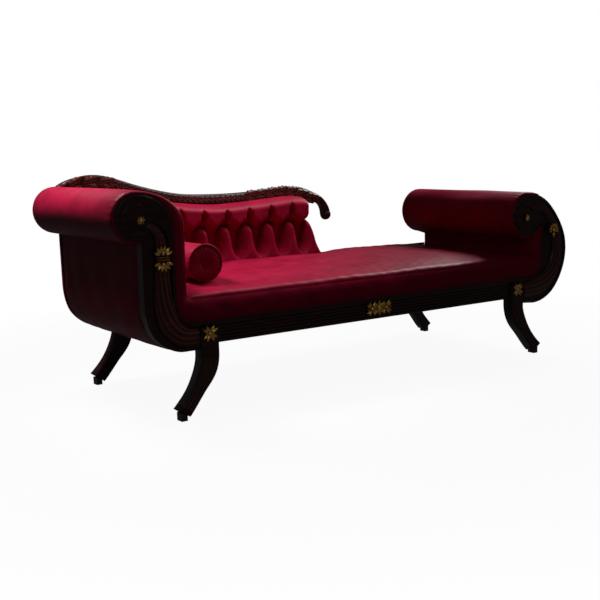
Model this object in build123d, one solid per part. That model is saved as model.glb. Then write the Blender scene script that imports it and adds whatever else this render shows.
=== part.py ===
from build123d import *
import math
import os

# Recamier: a day bed with an outward scroll at the head, an inward scroll at the foot and a
# buttoned half back.  Millimetres.  +X runs from the head to the foot, +Y to the back, +Z up.
# Outlines are drawn as (x, z), seen from the front, and stood upright by board().

# ---- overall ---------------------------------------------------------------------------------
HALF_DEPTH = 375             # wooden end faces stand at y = -375 and y = +375
MOUNT_PROUD = 8              # gilt mounts stand this far in front of the wood
FRONT_PROUD = 18             # the two mounts on the horns stand out further
HEAD_TIP = -1130             # outermost point of the head roll
FOOT_TIP = 1110              # outermost point of the foot scroll
CENTRE_SHIFT = (-(HEAD_TIP + FOOT_TIP) / 2, 0, 0)   # puts the box centre on the origin

# ---- seat frame ------------------------------------------------------------------------------
RAIL_BOTTOM = 263
RAIL_TOP = 350
RAIL_THICKNESS = 80
REED_COUNT = 5
REED_PITCH = 12.4
REED_RELIEF = 5
FILLET_BOTTOM = RAIL_BOTTOM + REED_COUNT * REED_PITCH
END_RAIL_BOTTOM = 290
BRACE_XS = (-250, 250)
BRACE_WIDTH = 45
CORNER_BLOCK = 90

# ---- legs ------------------------------------------------------------------------------------
FOOT_X = 900                 # centre of each glide from the middle of the seat
LEG_SPLAY = 117              # how far a leg sweeps outwards
LEG_WIDTH = 74
LEG_THICKNESS = 54
LEG_PROUD = 10               # a leg's face stands this far in front of the wooden end faces
LEG_BACK = HALF_DEPTH + LEG_PROUD - LEG_THICKNESS
LEG_KNEE = 233               # below this height a leg sweeps outwards and leans to the front
LEG_LEAN = 3                 # degrees
LEG_X = FOOT_X - LEG_SPLAY
LEG_TOP = FILLET_BOTTOM
RAIL_END = LEG_X + LEG_WIDTH / 2
GLIDE_WIDTH = 24
GLIDE_DEPTH = 36
GLIDE_TOP = 30
BOLT_RADIUS = 4
BOLT_Z = 296

# ---- scroll ends -----------------------------------------------------------------------------
FACING_THICKNESS = 40
FIELD_DEPTH = 8              # sunk field that frames each horn
FIELD_MARGIN = 6
HEAD_ROLL = 86
CORE_HEAD = 36               # radius of the turned timber inside each roll
CORE_FOOT = 42
HEAD_EYE = (HEAD_TIP + HEAD_ROLL, 730)
HEAD_WALL_X = -865           # upholstered inner side of the head end
HEAD_OUTER_X = -1030
HEAD_SWEEP = [(-1030, 440), (-1023, 372), (-1006, 324), (-972, 284), (-930, 258), (-880, 247)]
HEAD_BOTTOM = 247
SHOULDER_Z = 690             # where the rounded shoulder turns into the straight side
FOOT_ROLL = 100
FOOT_EYE = (857, 624)
FOOT_WALL_X = 905
FOOT_BOTTOM = 235
FOOT_SWEEP = [(857, 724), (960, 701), (1056, 612), (1101, 528), (1110, 462),
              (1097, 392), (1060, 320), (1000, 262), (900, 235)]
BAND_WIDTH = 40              # upholstered border between the wood and the seat opening
BAND_THICKNESS = 8
CORNER_RADIUS = 75
ROLL_GAP = 4                 # leather stands proud of the wooden facing round a roll
WALL_PADDING = 45
PANEL_THICKNESS = 8
ROLL_CAP_X = 928             # the foot roll's stuffing fills the wedge above it as far as this
BATTEN = 24
HEAD_BATTENS = [(-1008, 614), (-1008, 470), (-890, 278)]
FOOT_BATTENS = [(1082, 466), (1028, 350), (930, 268)]

# ---- seat upholstery -------------------------------------------------------------------------
SEAT_EDGE = 445
SEAT_REAR = 465
SEAT_CROWN = 482
SEAT_END = 450
SPRING_COUNT = 11
SPRING_PITCH = 130
SPRING_WAVES = 20
SPRING_HALF_WIDTH = 24
SPRING_WIRE = 4
DECK_THICKNESS = 4

# ---- half back -------------------------------------------------------------------------------
BACK_FRONT = 255             # y of the fullest part of the buttoned pad
BACK_FRAME_FRONT = 325
BACK_FRAME_REAR = 371
STRAP_THICKNESS = 3
BACK_EDGE = [(122, 722), (126, 640), (142, 575), (190, 463), (240, 350)]
STILE_WIDTH = 60
BACK_SLAT_XS = (-560, -280)
CREST_THICKNESS = 44
CREST_EDGE = 9               # radius worked along the crest's long edges
CREST_TOP = [(-1062, 798), (-1010, 836), (-950, 854), (-885, 862), (-815, 851), (-714, 819),
             (-600, 788), (-494, 768), (-400, 761), (-290, 758), (-84, 765), (60, 775),
             (120, 771), (190, 747), (240, 722), (270, 692), (286, 664), (291, 636)]
CREST_UNDER = [(255, 636), (251, 660), (240, 682), (222, 694), (200, 697), (165, 702),
               (125, 716), (84, 727), (-5, 729), (-122, 721), (-234, 715), (-344, 712),
               (-450, 719), (-538, 731), (-640, 754), (-750, 783), (-860, 796), (-1000, 770)]
CREST_BULB = (273, 636)
CREST_BULB_RADIUS = 25
BUTTON_PITCH = 112
UPPER_BUTTON_Z = 627
LOWER_BUTTON_Z = 523
UPPER_BUTTON_X = 17          # last button of the upper row; the lower row ends half a pitch on
UPPER_BUTTONS = 8
LOWER_BUTTONS = 8
BUTTON_RADIUS = 10
TUFT_RADIUS = 26
TUFT_DEPTH = 30

# ---- bolster ---------------------------------------------------------------------------------
BOLSTER_RADIUS = 72
BOLSTER_X = -702
BOLSTER_ENDS = (-232, 248)
BOLSTER_GAP = 0.5
PIPING_RADIUS = 4

# ---- gilt mounts -----------------------------------------------------------------------------
MOUNT_PLATE = 4
HORN_HEIGHT = 18
HEAD_HORN = [((-1003, 703), 11), ((-968, 672), 20), ((-956, 610), 27), ((-956, 520), 32),
             ((-955, 430), 38), ((-934, 350), 42), ((-884, 301), 38), ((-826, 292), 33)]
FOOT_HORN = [((897, 652), 11), ((945, 655), 18), ((1000, 610), 26), ((1038, 535), 32),
             ((1048, 455), 38), ((1024, 378), 42), ((950, 315), 42), ((828, 290), 34)]
HEAD_ROSETTE = (-1029, 720)
FOOT_ROSETTE = (851, 615)
HEAD_HORN_MOUNT = (-956, 584)
FOOT_HORN_MOUNT = (1010, 552)
LEG_MOUNT_Z = 302
CENTRE_MOUNT_Z = 306


# ---- drawing helpers -------------------------------------------------------------------------
def board(outline, y_front, thickness):
    """Stand an (x, z) outline upright and thicken it backwards from y_front."""
    return Pos(0, y_front + thickness, 0) * extrude(Plane.XZ * outline, thickness)


def along_x(outline, x_start, x_end):
    """Run a (y, z) section along X."""
    return Pos(x_start, 0, 0) * extrude(Plane.YZ * outline, x_end - x_start)


def block(x_range, y_range, z_range):
    """A rectangular timber between its low and high faces."""
    (x0, x1), (y0, y1), (z0, z1) = x_range, y_range, z_range
    centre = Pos((x0 + x1) / 2, (y0 + y1) / 2, (z0 + z1) / 2)
    return centre * Box(x1 - x0, y1 - y0, z1 - z0)


def panel(x_range, z_range):
    """A rectangular (x, z) outline."""
    (x0, x1), (z0, z1) = x_range, z_range
    return Pos((x0 + x1) / 2, (z0 + z1) / 2) * Rectangle(x1 - x0, z1 - z0)


def rod_along_y(x, z, radius, y_start, y_end):
    """A round rod running from front to back."""
    middle = Pos(x, (y_start + y_end) / 2, z)
    return middle * Rot(90, 0, 0) * Cylinder(radius, y_end - y_start)


def to_back(solid):
    """The same piece on the other long side."""
    return mirror(solid, about=Plane.XZ)


def inset(points, distance):
    """Move each point of an open curve to its right-hand side, square to its neighbours."""
    moved = []
    last = len(points) - 1
    for index, (x, z) in enumerate(points):
        before = points[max(index - 1, 0)]
        after = points[min(index + 1, last)]
        dx, dz = after[0] - before[0], after[1] - before[1]
        length = math.hypot(dx, dz)
        moved.append((x + dz / length * distance, z - dx / length * distance))
    return moved


# ---- outlines of the scroll ends ---------------------------------------------------------------
def head_outline(roll, shoulder_run, shoulder_rise, foot_of_wall):
    """Head end seen from the front: roll, elliptical shoulder, straight side and sweep below."""
    eye_x, eye_z = HEAD_EYE
    side_x = eye_x + shoulder_run
    under = (HEAD_OUTER_X, eye_z - math.sqrt(roll**2 - (HEAD_OUTER_X - eye_x) ** 2))
    top = (eye_x, eye_z + roll)
    edges = [
        ThreePointArc(under, (eye_x - roll, eye_z), top),
        EllipticalCenterArc((eye_x, SHOULDER_Z), shoulder_run, shoulder_rise, 0, arc_size=90),
        Polyline([(side_x, SHOULDER_Z)] + foot_of_wall + [(-RAIL_END, RAIL_TOP),
                 (-RAIL_END, HEAD_BOTTOM), HEAD_SWEEP[-1]]),
        Spline(HEAD_SWEEP[::-1], tangents=[(-1, 0), (0, 1)]),
        Line(HEAD_SWEEP[0], under),
    ]
    return make_face(edges)


def wood_corner(x, direction):
    """Concave corner where a facing's inner edge turns into the rail's top edge."""
    side = panel(sorted((x, x + direction * CORNER_RADIUS)), (RAIL_TOP, RAIL_TOP + CORNER_RADIUS))
    hollow = Pos(x + direction * CORNER_RADIUS, RAIL_TOP + CORNER_RADIUS) * Circle(CORNER_RADIUS)
    return side - hollow


def head_wood():
    """Front facing of the head end, without the upholstered border."""
    edge_x = HEAD_WALL_X - BAND_WIDTH
    roll = HEAD_ROLL - ROLL_GAP
    rise = HEAD_EYE[1] + roll - SHOULDER_Z
    face = head_outline(roll, edge_x - HEAD_EYE[0], rise, [(edge_x, RAIL_TOP)])
    return face + wood_corner(edge_x, 1)


def head_full():
    """Whole end of the head scroll, out to the leather."""
    rise = HEAD_EYE[1] + HEAD_ROLL - SHOULDER_Z
    return head_outline(HEAD_ROLL, HEAD_WALL_X - HEAD_EYE[0], rise, [(HEAD_WALL_X, RAIL_TOP)])


def foot_outline(roll, wall_x):
    """Foot end seen from the front: a roll turned in over the seat on a deep C-shaped sweep."""
    eye_x, eye_z = FOOT_EYE
    wall_top = eye_z - math.sqrt(roll**2 - (wall_x - eye_x) ** 2)
    crown = (eye_x, eye_z + roll)
    edges = [
        Polyline([(RAIL_END, FOOT_BOTTOM), (RAIL_END, RAIL_TOP), (wall_x, RAIL_TOP),
                  (wall_x, wall_top)]),
        ThreePointArc((wall_x, wall_top), (eye_x - roll, eye_z), crown),
        Spline([crown] + FOOT_SWEEP[1:], tangents=[(1, 0), (-1, 0)]),
        Line(FOOT_SWEEP[-1], (RAIL_END, FOOT_BOTTOM)),
    ]
    return make_face(edges)


def foot_wood():
    """Front facing of the foot end, without the upholstered border."""
    edge_x = FOOT_WALL_X + BAND_WIDTH
    return foot_outline(FOOT_ROLL - ROLL_GAP, edge_x) + wood_corner(edge_x, -1)


def ribbon(path, margin):
    """Band that follows a horn's path, as wide as the horn plus a margin on each side."""
    left, right = [], []
    last = len(path) - 1
    for index, ((x, z), half_width) in enumerate(path):
        before = path[max(index - 1, 0)][0]
        after = path[min(index + 1, last)][0]
        dx, dz = after[0] - before[0], after[1] - before[1]
        reach = (half_width + margin) / math.hypot(dx, dz)
        left.append((x - dz * reach, z + dx * reach))
        right.append((x + dz * reach, z - dx * reach))
    return make_face([Spline(left), Line(left[-1], right[-1]), Spline(right[::-1]),
                      Line(right[0], left[0])])


# ---- scroll ends -------------------------------------------------------------------------------
def facing(outline):
    """Plain board that closes a scroll end at the front."""
    return board(outline, -HALF_DEPTH, FACING_THICKNESS)


def carved_facing(outline, path):
    """Front board with a field sunk for its horn."""
    return facing(outline) - board(ribbon(path, FIELD_MARGIN), -HALF_DEPTH, FIELD_DEPTH)


def horn(path):
    """Horn of plenty carved in relief: round sections that grow from the eye to the mouth."""
    floor = -HALF_DEPTH + FIELD_DEPTH
    sections = []
    last = len(path) - 1
    for index, ((x, z), half_width) in enumerate(path):
        before = path[max(index - 1, 0)][0]
        after = path[min(index + 1, last)][0]
        along = Vector(after[0] - before[0], 0, after[1] - before[1]).normalized()
        across = along.cross(Vector(0, 1, 0))
        plane = Plane(origin=(x, floor, z), x_dir=across, z_dir=along)
        sections.append(plane * Ellipse(half_width, HORN_HEIGHT))
    body = loft(sections)
    front = block((HEAD_TIP, FOOT_TIP), (-2 * HALF_DEPTH, floor), (0, 1000))
    return body & front


def head_arm_pad():
    """Stuffed roll and inner side of the head end, with the roll's timber core left out."""
    rise = HEAD_EYE[1] + HEAD_ROLL - SHOULDER_Z
    inner_x = HEAD_WALL_X - WALL_PADDING
    under_z = HEAD_EYE[1] - math.sqrt(HEAD_ROLL**2 - (HEAD_OUTER_X - HEAD_EYE[0]) ** 2)
    whole = head_full()
    hollow = panel((HEAD_OUTER_X - 50, inner_x), (0, under_z))
    below = panel((HEAD_OUTER_X - 50, 0), (0, RAIL_TOP))
    section = whole - hollow - below
    strip = section - head_wood()
    inner_face = HALF_DEPTH - FACING_THICKNESS
    body = board(section, -inner_face, 2 * inner_face)
    edge = board(strip, -HALF_DEPTH + BAND_THICKNESS, FACING_THICKNESS - BAND_THICKNESS)
    return body + edge - rod_along_y(*HEAD_EYE, CORE_HEAD, -HALF_DEPTH, HALF_DEPTH)


def foot_arm_pad():
    """Stuffed roll and inner side of the foot end, with the roll's timber core left out."""
    roll = Pos(*FOOT_EYE) * Circle(FOOT_ROLL)
    wall = panel((FOOT_WALL_X, FOOT_WALL_X + WALL_PADDING), (RAIL_TOP, FOOT_EYE[1] - 30))
    wedge = panel((FOOT_EYE[0], ROLL_CAP_X), (FOOT_EYE[1], FOOT_EYE[1] + 2 * FOOT_ROLL))
    cap = foot_outline(FOOT_ROLL, FOOT_WALL_X) & wedge
    section = roll + cap + wall
    strip = wall - foot_wood() - roll
    inner_face = HALF_DEPTH - FACING_THICKNESS
    body = board(section, -inner_face, 2 * inner_face)
    edge = board(strip, -HALF_DEPTH + BAND_THICKNESS, FACING_THICKNESS - BAND_THICKNESS)
    return body + edge - rod_along_y(*FOOT_EYE, CORE_FOOT, -HALF_DEPTH, HALF_DEPTH)


def roll_core(eye, radius):
    """Turned timber that carries a roll between the two facings."""
    inner_face = HALF_DEPTH - FACING_THICKNESS
    return rod_along_y(*eye, radius, -inner_face, inner_face)


def sheet(points, thickness, tangents=None):
    """Curved sheet between the facings, its outside on the given curve."""
    outside = Spline(points, tangents=tangents)
    inner_points = inset(points, thickness)
    back_tangents = tangents and [(-dx, -dz) for dx, dz in tangents[::-1]]
    inside = Spline(inner_points[::-1], tangents=back_tangents)
    edges = [outside, Line(points[-1], inner_points[-1]), inside, Line(inner_points[0], points[0])]
    return make_face(edges)


def head_outer_panel():
    """Covered outer side of the head end, straight under the roll and swept in below."""
    curve = inset(HEAD_SWEEP[::-1], 2)
    under_z = HEAD_EYE[1] - math.sqrt(HEAD_ROLL**2 - (HEAD_OUTER_X - HEAD_EYE[0]) ** 2)
    sweep = sheet(curve, PANEL_THICKNESS, [(-1, 0), (0, 1)])
    x0, z0 = curve[-1]
    upright = panel((x0, x0 + PANEL_THICKNESS), (z0, under_z))
    inner_face = HALF_DEPTH - FACING_THICKNESS
    return board(sweep + upright, -inner_face, 2 * inner_face)


def foot_outer_panel():
    """Covered outer side of the foot end, from the top of the roll round to the underside."""
    curve = inset(FOOT_SWEEP, 2)
    skin = sheet(curve, PANEL_THICKNESS)
    cap = panel((0, ROLL_CAP_X), (FOOT_EYE[1], FOOT_EYE[1] + 2 * FOOT_ROLL))
    inner_face = HALF_DEPTH - FACING_THICKNESS
    return board(skin - cap, -inner_face, 2 * inner_face)


def arm_battens(places):
    """Long battens, front facing to rear facing, that the outer covering is tacked to."""
    inner_face = HALF_DEPTH - FACING_THICKNESS
    half = BATTEN / 2
    return [block((x - half, x + half), (-inner_face, inner_face), (z - half, z + half))
            for x, z in places]


# ---- seat frame --------------------------------------------------------------------------------
def reeded_section():
    """Rail section: half-round reeds below a smooth rounded fillet."""
    root = -HALF_DEPTH + REED_RELIEF
    back = -HALF_DEPTH + RAIL_THICKNESS
    edges = [Polyline([(root, RAIL_BOTTOM), (back, RAIL_BOTTOM), (back, RAIL_TOP), (root, RAIL_TOP)])]
    steps = [RAIL_BOTTOM + index * REED_PITCH for index in range(REED_COUNT + 1)] + [RAIL_TOP]
    for low, high in zip(steps, steps[1:]):
        edges.append(ThreePointArc((root, low), (-HALF_DEPTH, (low + high) / 2), (root, high)))
    return make_face(edges)


def post_housings(y_range):
    """The two notches that a rail's leg posts are let into."""
    return [block(sorted((side * (RAIL_END - LEG_WIDTH), side * (RAIL_END + 1))), y_range,
                  (0, LEG_TOP)) for side in (-1, 1)]


def front_seat_rail():
    """Long front rail, reeded on its face, with housings for the leg posts."""
    rail = along_x(reeded_section(), -RAIL_END, RAIL_END)
    for housing in post_housings((-HALF_DEPTH - 1, -LEG_BACK)):
        rail -= housing
    return rail - bolt_holes(-1)


def rear_seat_rail():
    """Plain rear rail of the same size."""
    rail = block((-RAIL_END, RAIL_END), (HALF_DEPTH - RAIL_THICKNESS, HALF_DEPTH),
                 (RAIL_BOTTOM, RAIL_TOP))
    for housing in post_housings((LEG_BACK, HALF_DEPTH + 1)):
        rail -= housing
    return rail - bolt_holes(1)


def bolt_holes(side):
    """Holes through one rail for the bolts that draw the leg posts home."""
    reach = HALF_DEPTH - 15
    holes = [rod_along_y(x, BOLT_Z, BOLT_RADIUS, *sorted((side * 0.5 * HALF_DEPTH, side * reach)))
             for x in (-LEG_X, LEG_X)]
    return holes[0] + holes[1]


def end_rail(side):
    """Cross rail under a scroll end, between its two facings."""
    wall = HEAD_WALL_X - WALL_PADDING if side < 0 else FOOT_WALL_X + WALL_PADDING
    inner_face = HALF_DEPTH - FACING_THICKNESS
    return block(sorted((wall, side * RAIL_END)), (-inner_face, inner_face),
                 (END_RAIL_BOTTOM, RAIL_TOP))


def seat_brace(x):
    """Cross brace between the two long rails."""
    inner = HALF_DEPTH - RAIL_THICKNESS
    return block((x - BRACE_WIDTH / 2, x + BRACE_WIDTH / 2), (-inner, inner),
                 (RAIL_BOTTOM + 10, RAIL_TOP - 35))


def corner_blocks():
    """Triangular blocks glued into the four inner corners of the seat frame."""
    inner = HALF_DEPTH - RAIL_THICKNESS
    blocks = []
    for side_x in (-1, 1):
        for side_y in (-1, 1):
            corner = (side_x * RAIL_END, side_y * inner)
            along = (corner[0] - side_x * CORNER_BLOCK, corner[1])
            across = (corner[0], corner[1] - side_y * CORNER_BLOCK)
            triangle = make_face(Polyline([corner, along, across], close=True))
            blocks.append(Pos(0, 0, END_RAIL_BOTTOM + 20) * extrude(triangle, 30))
    return blocks


# ---- legs --------------------------------------------------------------------------------------
def leg_outline():
    """Sabre part of a leg, seen from the front, with a short straight neck above the knee."""
    half = LEG_WIDTH / 2
    neck = LEG_KNEE + 10
    outer = [(half, LEG_KNEE), (57, 155), (89, 99), (139, 44)]
    inner = [(97, 15), (28, 98), (-16, 152), (-half, LEG_KNEE)]
    edges = [
        Polyline([inner[-1], (-half, neck), (half, neck), outer[0]]),
        Spline(outer, tangents=[(0, -1), (1, -1)]),
        Line(outer[-1], inner[0]),
        Spline(inner, tangents=[(-1, 1), (0, 1)]),
    ]
    return make_face(edges)


def sabre():
    """Sabre part of the front leg of the foot end, leaning forwards from its knee."""
    face = -HALF_DEPTH - LEG_PROUD
    upright = Pos(LEG_X, -face, -LEG_KNEE) * board(leg_outline(), face, LEG_THICKNESS)
    return Pos(0, face, LEG_KNEE) * Rot(-LEG_LEAN, 0, 0) * upright


def front_leg():
    """Front leg of the foot end, in its own place, with a blind hole for its bolt."""
    half = LEG_WIDTH / 2
    post = block((LEG_X - half, LEG_X + half), (-HALF_DEPTH - LEG_PROUD, -LEG_BACK),
                 (LEG_KNEE, LEG_TOP))
    return post + sabre() - bolt_holes(-1)


def toe_y():
    """Y of the middle of a front leg's toe."""
    drop = LEG_KNEE - GLIDE_TOP
    return -LEG_BACK - LEG_THICKNESS / 2 - drop * math.sin(math.radians(LEG_LEAN))


def front_glide():
    """Small dark glide seated in the toe of the front leg of the foot end."""
    foot = block((FOOT_X - GLIDE_WIDTH / 2, FOOT_X + GLIDE_WIDTH / 2),
                 (toe_y() - GLIDE_DEPTH / 2, toe_y() + GLIDE_DEPTH / 2), (0, GLIDE_TOP))
    return foot - sabre()


def leg_bolts():
    """Bolts with flat round heads, from inside the long rails into the leg posts."""
    inner = HALF_DEPTH - RAIL_THICKNESS
    bolts = []
    for side in (-1, 1):
        for x in (-LEG_X, LEG_X):
            shank = rod_along_y(x, BOLT_Z, BOLT_RADIUS - 0.2,
                                *sorted((side * inner, side * (HALF_DEPTH - 16))))
            head = rod_along_y(x, BOLT_Z, BOLT_RADIUS * 2,
                               *sorted((side * (inner - 5), side * inner)))
            bolts.append(shank + head)
    return bolts


# ---- seat upholstery -----------------------------------------------------------------------------
def spring_place(index):
    """X of one seat spring, counted from the head."""
    return (index - (SPRING_COUNT - 1) / 2) * SPRING_PITCH


def zigzag_spring(x):
    """Flat zigzag seat spring from the front rail to the rear rail."""
    reach = HALF_DEPTH - RAIL_THICKNESS - 8
    pitch = 2 * reach / SPRING_WAVES
    swing = SPRING_HALF_WIDTH
    wire = SPRING_WIRE
    left, right = [], []
    for step in range(SPRING_WAVES + 1):
        y = -reach + step * pitch
        centre = swing if step % 2 else -swing
        centre = 0 if step in (0, SPRING_WAVES) else centre
        left.append((x + centre - wire / 2, y))
        right.append((x + centre + wire / 2, y))
    outline = make_face(Polyline(left + right[::-1], close=True))
    return Pos(0, 0, RAIL_TOP - DECK_THICKNESS - wire) * extrude(outline, wire)


def spring_clips():
    """Clips on the inner faces of the long rails, one at each end of each spring."""
    inner = HALF_DEPTH - RAIL_THICKNESS
    top = RAIL_TOP - DECK_THICKNESS
    return [block((spring_place(index) - 9, spring_place(index) + 9),
                  sorted((side * (inner - 8), side * inner)), (top - 12, top))
            for index in range(SPRING_COUNT) for side in (-1, 1)]


def seat_deck():
    """Stout cloth over the springs, flush with the tops of the rails."""
    inner = HALF_DEPTH - RAIL_THICKNESS
    return block((-RAIL_END, RAIL_END), (-inner, inner), (RAIL_TOP - DECK_THICKNESS, RAIL_TOP))


def dust_cloth():
    """Thin black cloth tacked under the seat frame."""
    return block((-LEG_X + LEG_WIDTH / 2 + 8, LEG_X - LEG_WIDTH / 2 - 8),
                 (-HALF_DEPTH + 30, HALF_DEPTH - 30), (RAIL_BOTTOM - 1.5, RAIL_BOTTOM))


def seat_pad():
    """Tightly stuffed seat, crowned both ways, with its back edge notched round the half back."""
    front = HALF_DEPTH - BAND_THICKNESS
    ends = (HEAD_WALL_X, FOOT_WALL_X)
    middle = sum(ends) / 2
    lengthwise = make_face([
        Polyline([(ends[0], SEAT_END), (ends[0], RAIL_TOP), (ends[1], RAIL_TOP),
                  (ends[1], SEAT_END)]),
        ThreePointArc((ends[1], SEAT_END), (middle, SEAT_CROWN), (ends[0], SEAT_END)),
    ])
    crosswise = make_face([
        Polyline([(-front, SEAT_EDGE), (-front, RAIL_TOP), (front, RAIL_TOP), (front, SEAT_REAR)]),
        ThreePointArc((front, SEAT_REAR), (40, SEAT_CROWN), (-front, SEAT_EDGE)),
    ])
    pad = board(lengthwise, -front, 2 * front) & along_x(crosswise, *ends)
    pad -= board(back_outline(), BACK_FRONT, HALF_DEPTH)
    return pad - facing(head_wood()) - facing(foot_wood())


def border_outline():
    """Border seen from the front: down the head end, along the seat edge and up the foot end."""
    opening = panel((HEAD_WALL_X - BAND_WIDTH, FOOT_WALL_X + BAND_WIDTH), (RAIL_TOP, SEAT_EDGE))
    head = head_full() - panel((HEAD_OUTER_X - 200, 0), (0, RAIL_TOP))
    foot = panel((FOOT_WALL_X, FOOT_WALL_X + BAND_WIDTH), (RAIL_TOP, FOOT_EYE[1]))
    roll = Pos(*FOOT_EYE) * Circle(FOOT_ROLL)
    whole = opening + head + (foot - roll)
    beyond_eye = panel((HEAD_OUTER_X - 200, HEAD_OUTER_X + 1), (0, 1000))
    return whole - head_wood() - foot_wood() - beyond_eye


def front_band():
    """Front border of the upholstery, one strip round the whole opening."""
    return board(border_outline(), -HALF_DEPTH, BAND_THICKNESS)


def rear_band():
    """Rear border of the seat, from the end of the half back to the foot end."""
    start = BACK_EDGE[-1][0] + 2
    strip = panel((start, FOOT_WALL_X), (RAIL_TOP, SEAT_EDGE))
    return board(strip, HALF_DEPTH - BAND_THICKNESS, BAND_THICKNESS)


# ---- half back -----------------------------------------------------------------------------------
def crest_outline():
    """Serpentine crest seen from the front, ending in a swan neck with a bulb."""
    edges = [
        Spline(CREST_TOP),
        Line(CREST_TOP[-1], CREST_UNDER[0]),
        Spline(CREST_UNDER),
        Line(CREST_UNDER[-1], CREST_TOP[0]),
    ]
    return make_face(edges)


def back_outline():
    """Half back below the crest: square against the head end, hollow at its free end."""
    edge = Spline(BACK_EDGE, tangents=[(0.05, -1), (1, -1.6)])
    edges = [
        Polyline([BACK_EDGE[-1], (HEAD_WALL_X, RAIL_TOP), (HEAD_WALL_X, 900),
                  (BACK_EDGE[0][0], 900), BACK_EDGE[0]]),
        edge,
    ]
    return make_face(edges)


def under_crest():
    """The half back's outline, closed along the underside of the crest."""
    above = make_face([
        Spline(CREST_UNDER),
        Polyline([CREST_UNDER[-1], (-1000, 950), (236, 950), CREST_UNDER[0]]),
    ])
    return back_outline() - above - head_full()


def crest_rail():
    """Carved crest, seated on the rear facing of the head end and on the back's stiles."""
    rail = board(crest_outline(), HALF_DEPTH - CREST_THICKNESS, CREST_THICKNESS)
    rail = fillet(rail.edges().filter_by(lambda edge: edge.length > 1000), CREST_EDGE)
    middle = HALF_DEPTH - CREST_BULB_RADIUS
    bulb = Pos(CREST_BULB[0], middle, CREST_BULB[1]) * Sphere(CREST_BULB_RADIUS)
    seat = board(head_full(), 0, HALF_DEPTH + 1)
    return rail + bulb - seat


def back_frame_piece(region):
    """Part of the back's timber frame: its outline within the given (x, z) region."""
    return board(under_crest() & region, BACK_FRAME_FRONT, BACK_FRAME_REAR - BACK_FRAME_FRONT)


def back_left_stile():
    """Upright against the head end."""
    return back_frame_piece(panel((HEAD_WALL_X, HEAD_WALL_X + STILE_WIDTH), (RAIL_TOP, 900)))


def back_right_stile():
    """Upright at the free end, sawn to the hollow curve."""
    shifted = Pos(-STILE_WIDTH, 0) * back_outline()
    return back_frame_piece(panel((-200, 300), (RAIL_TOP, 900)) - shifted)


def back_bottom_rail():
    """Lower cross rail of the back, between its stiles."""
    shifted = Pos(-STILE_WIDTH, 0) * back_outline()
    region = panel((HEAD_WALL_X + STILE_WIDTH, 300), (RAIL_TOP, RAIL_TOP + 60)) & shifted
    return back_frame_piece(region)


def back_slat(x):
    """Upright slat between the bottom rail and the crest."""
    return back_frame_piece(panel((x - 30, x + 30), (RAIL_TOP + 60, 900)))


def back_webbing():
    """Straps stretched across the front of the back's frame."""
    region = under_crest()
    straps = None
    for z in (450, 540, 630):
        strap = region & panel((HEAD_WALL_X, 300), (z, z + 50))
        straps = strap if straps is None else straps + strap
    for index in range(6):
        x = -720 + index * 140
        straps += region & panel((x, x + 50), (RAIL_TOP + 20, 700))
    return board(straps, BACK_FRAME_FRONT - STRAP_THICKNESS, STRAP_THICKNESS)


def button_places():
    """(x, z) of every back button: two rows, staggered by half a pitch."""
    upper = [(UPPER_BUTTON_X - index * BUTTON_PITCH, UPPER_BUTTON_Z)
             for index in range(UPPER_BUTTONS)]
    lower = [(UPPER_BUTTON_X - (index - 0.5) * BUTTON_PITCH, LOWER_BUTTON_Z)
             for index in range(LOWER_BUTTONS)]
    return upper + lower


def back_pad():
    """Deep-buttoned pad: a full slab with a cone pulled in at every button."""
    rear = BACK_FRAME_FRONT - STRAP_THICKNESS
    pad = board(under_crest(), BACK_FRONT, rear - BACK_FRONT)
    pull = Cone(BUTTON_RADIUS, TUFT_RADIUS, TUFT_DEPTH)
    for x, z in button_places():
        pad -= Pos(x, BACK_FRONT + TUFT_DEPTH / 2, z) * Rot(90, 0, 0) * pull
    return pad


def back_buttons():
    """Covered buttons at the bottom of the tufts."""
    bottom = BACK_FRONT + TUFT_DEPTH
    return [rod_along_y(x, z, BUTTON_RADIUS, bottom - 6, bottom) for x, z in button_places()]


def back_outer_panel():
    """Covered rear face of the half back."""
    return board(under_crest(), BACK_FRAME_REAR, HALF_DEPTH - BACK_FRAME_REAR)


# ---- bolster -------------------------------------------------------------------------------------
def bolster_z():
    """Height of the bolster's axis, resting just clear of the crowned seat."""
    half_run = (FOOT_WALL_X - HEAD_WALL_X) / 2
    middle = (FOOT_WALL_X + HEAD_WALL_X) / 2
    rise = SEAT_CROWN - SEAT_END
    radius = (half_run**2 + rise**2) / (2 * rise)
    offset = BOLSTER_X - middle
    centre_z = SEAT_CROWN - radius
    reach = radius + BOLSTER_RADIUS + PIPING_RADIUS / 2 + BOLSTER_GAP
    return centre_z + math.sqrt(reach**2 - offset**2)


def bolster():
    """Round bolster with a piped edge at each end and a dimple for each end button."""
    y0, y1 = BOLSTER_ENDS
    z = bolster_z()
    body = rod_along_y(BOLSTER_X, z, BOLSTER_RADIUS, y0, y1)
    edge = Rot(90, 0, 0) * Torus(BOLSTER_RADIUS - PIPING_RADIUS / 2, PIPING_RADIUS)
    for y, inwards in ((y0, 1), (y1, -1)):
        body += Pos(BOLSTER_X, y + inwards * PIPING_RADIUS, z) * edge
        body -= rod_along_y(BOLSTER_X, z, BUTTON_RADIUS + 4, *sorted((y, y + inwards * 6)))
    return body


def bolster_buttons():
    """Covered button in the middle of each end of the bolster."""
    y0, y1 = BOLSTER_ENDS
    z = bolster_z()
    return [rod_along_y(BOLSTER_X, z, BUTTON_RADIUS + 4, y0 + 1, y0 + 6),
            rod_along_y(BOLSTER_X, z, BUTTON_RADIUS + 4, y1 - 6, y1 - 1)]


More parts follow.
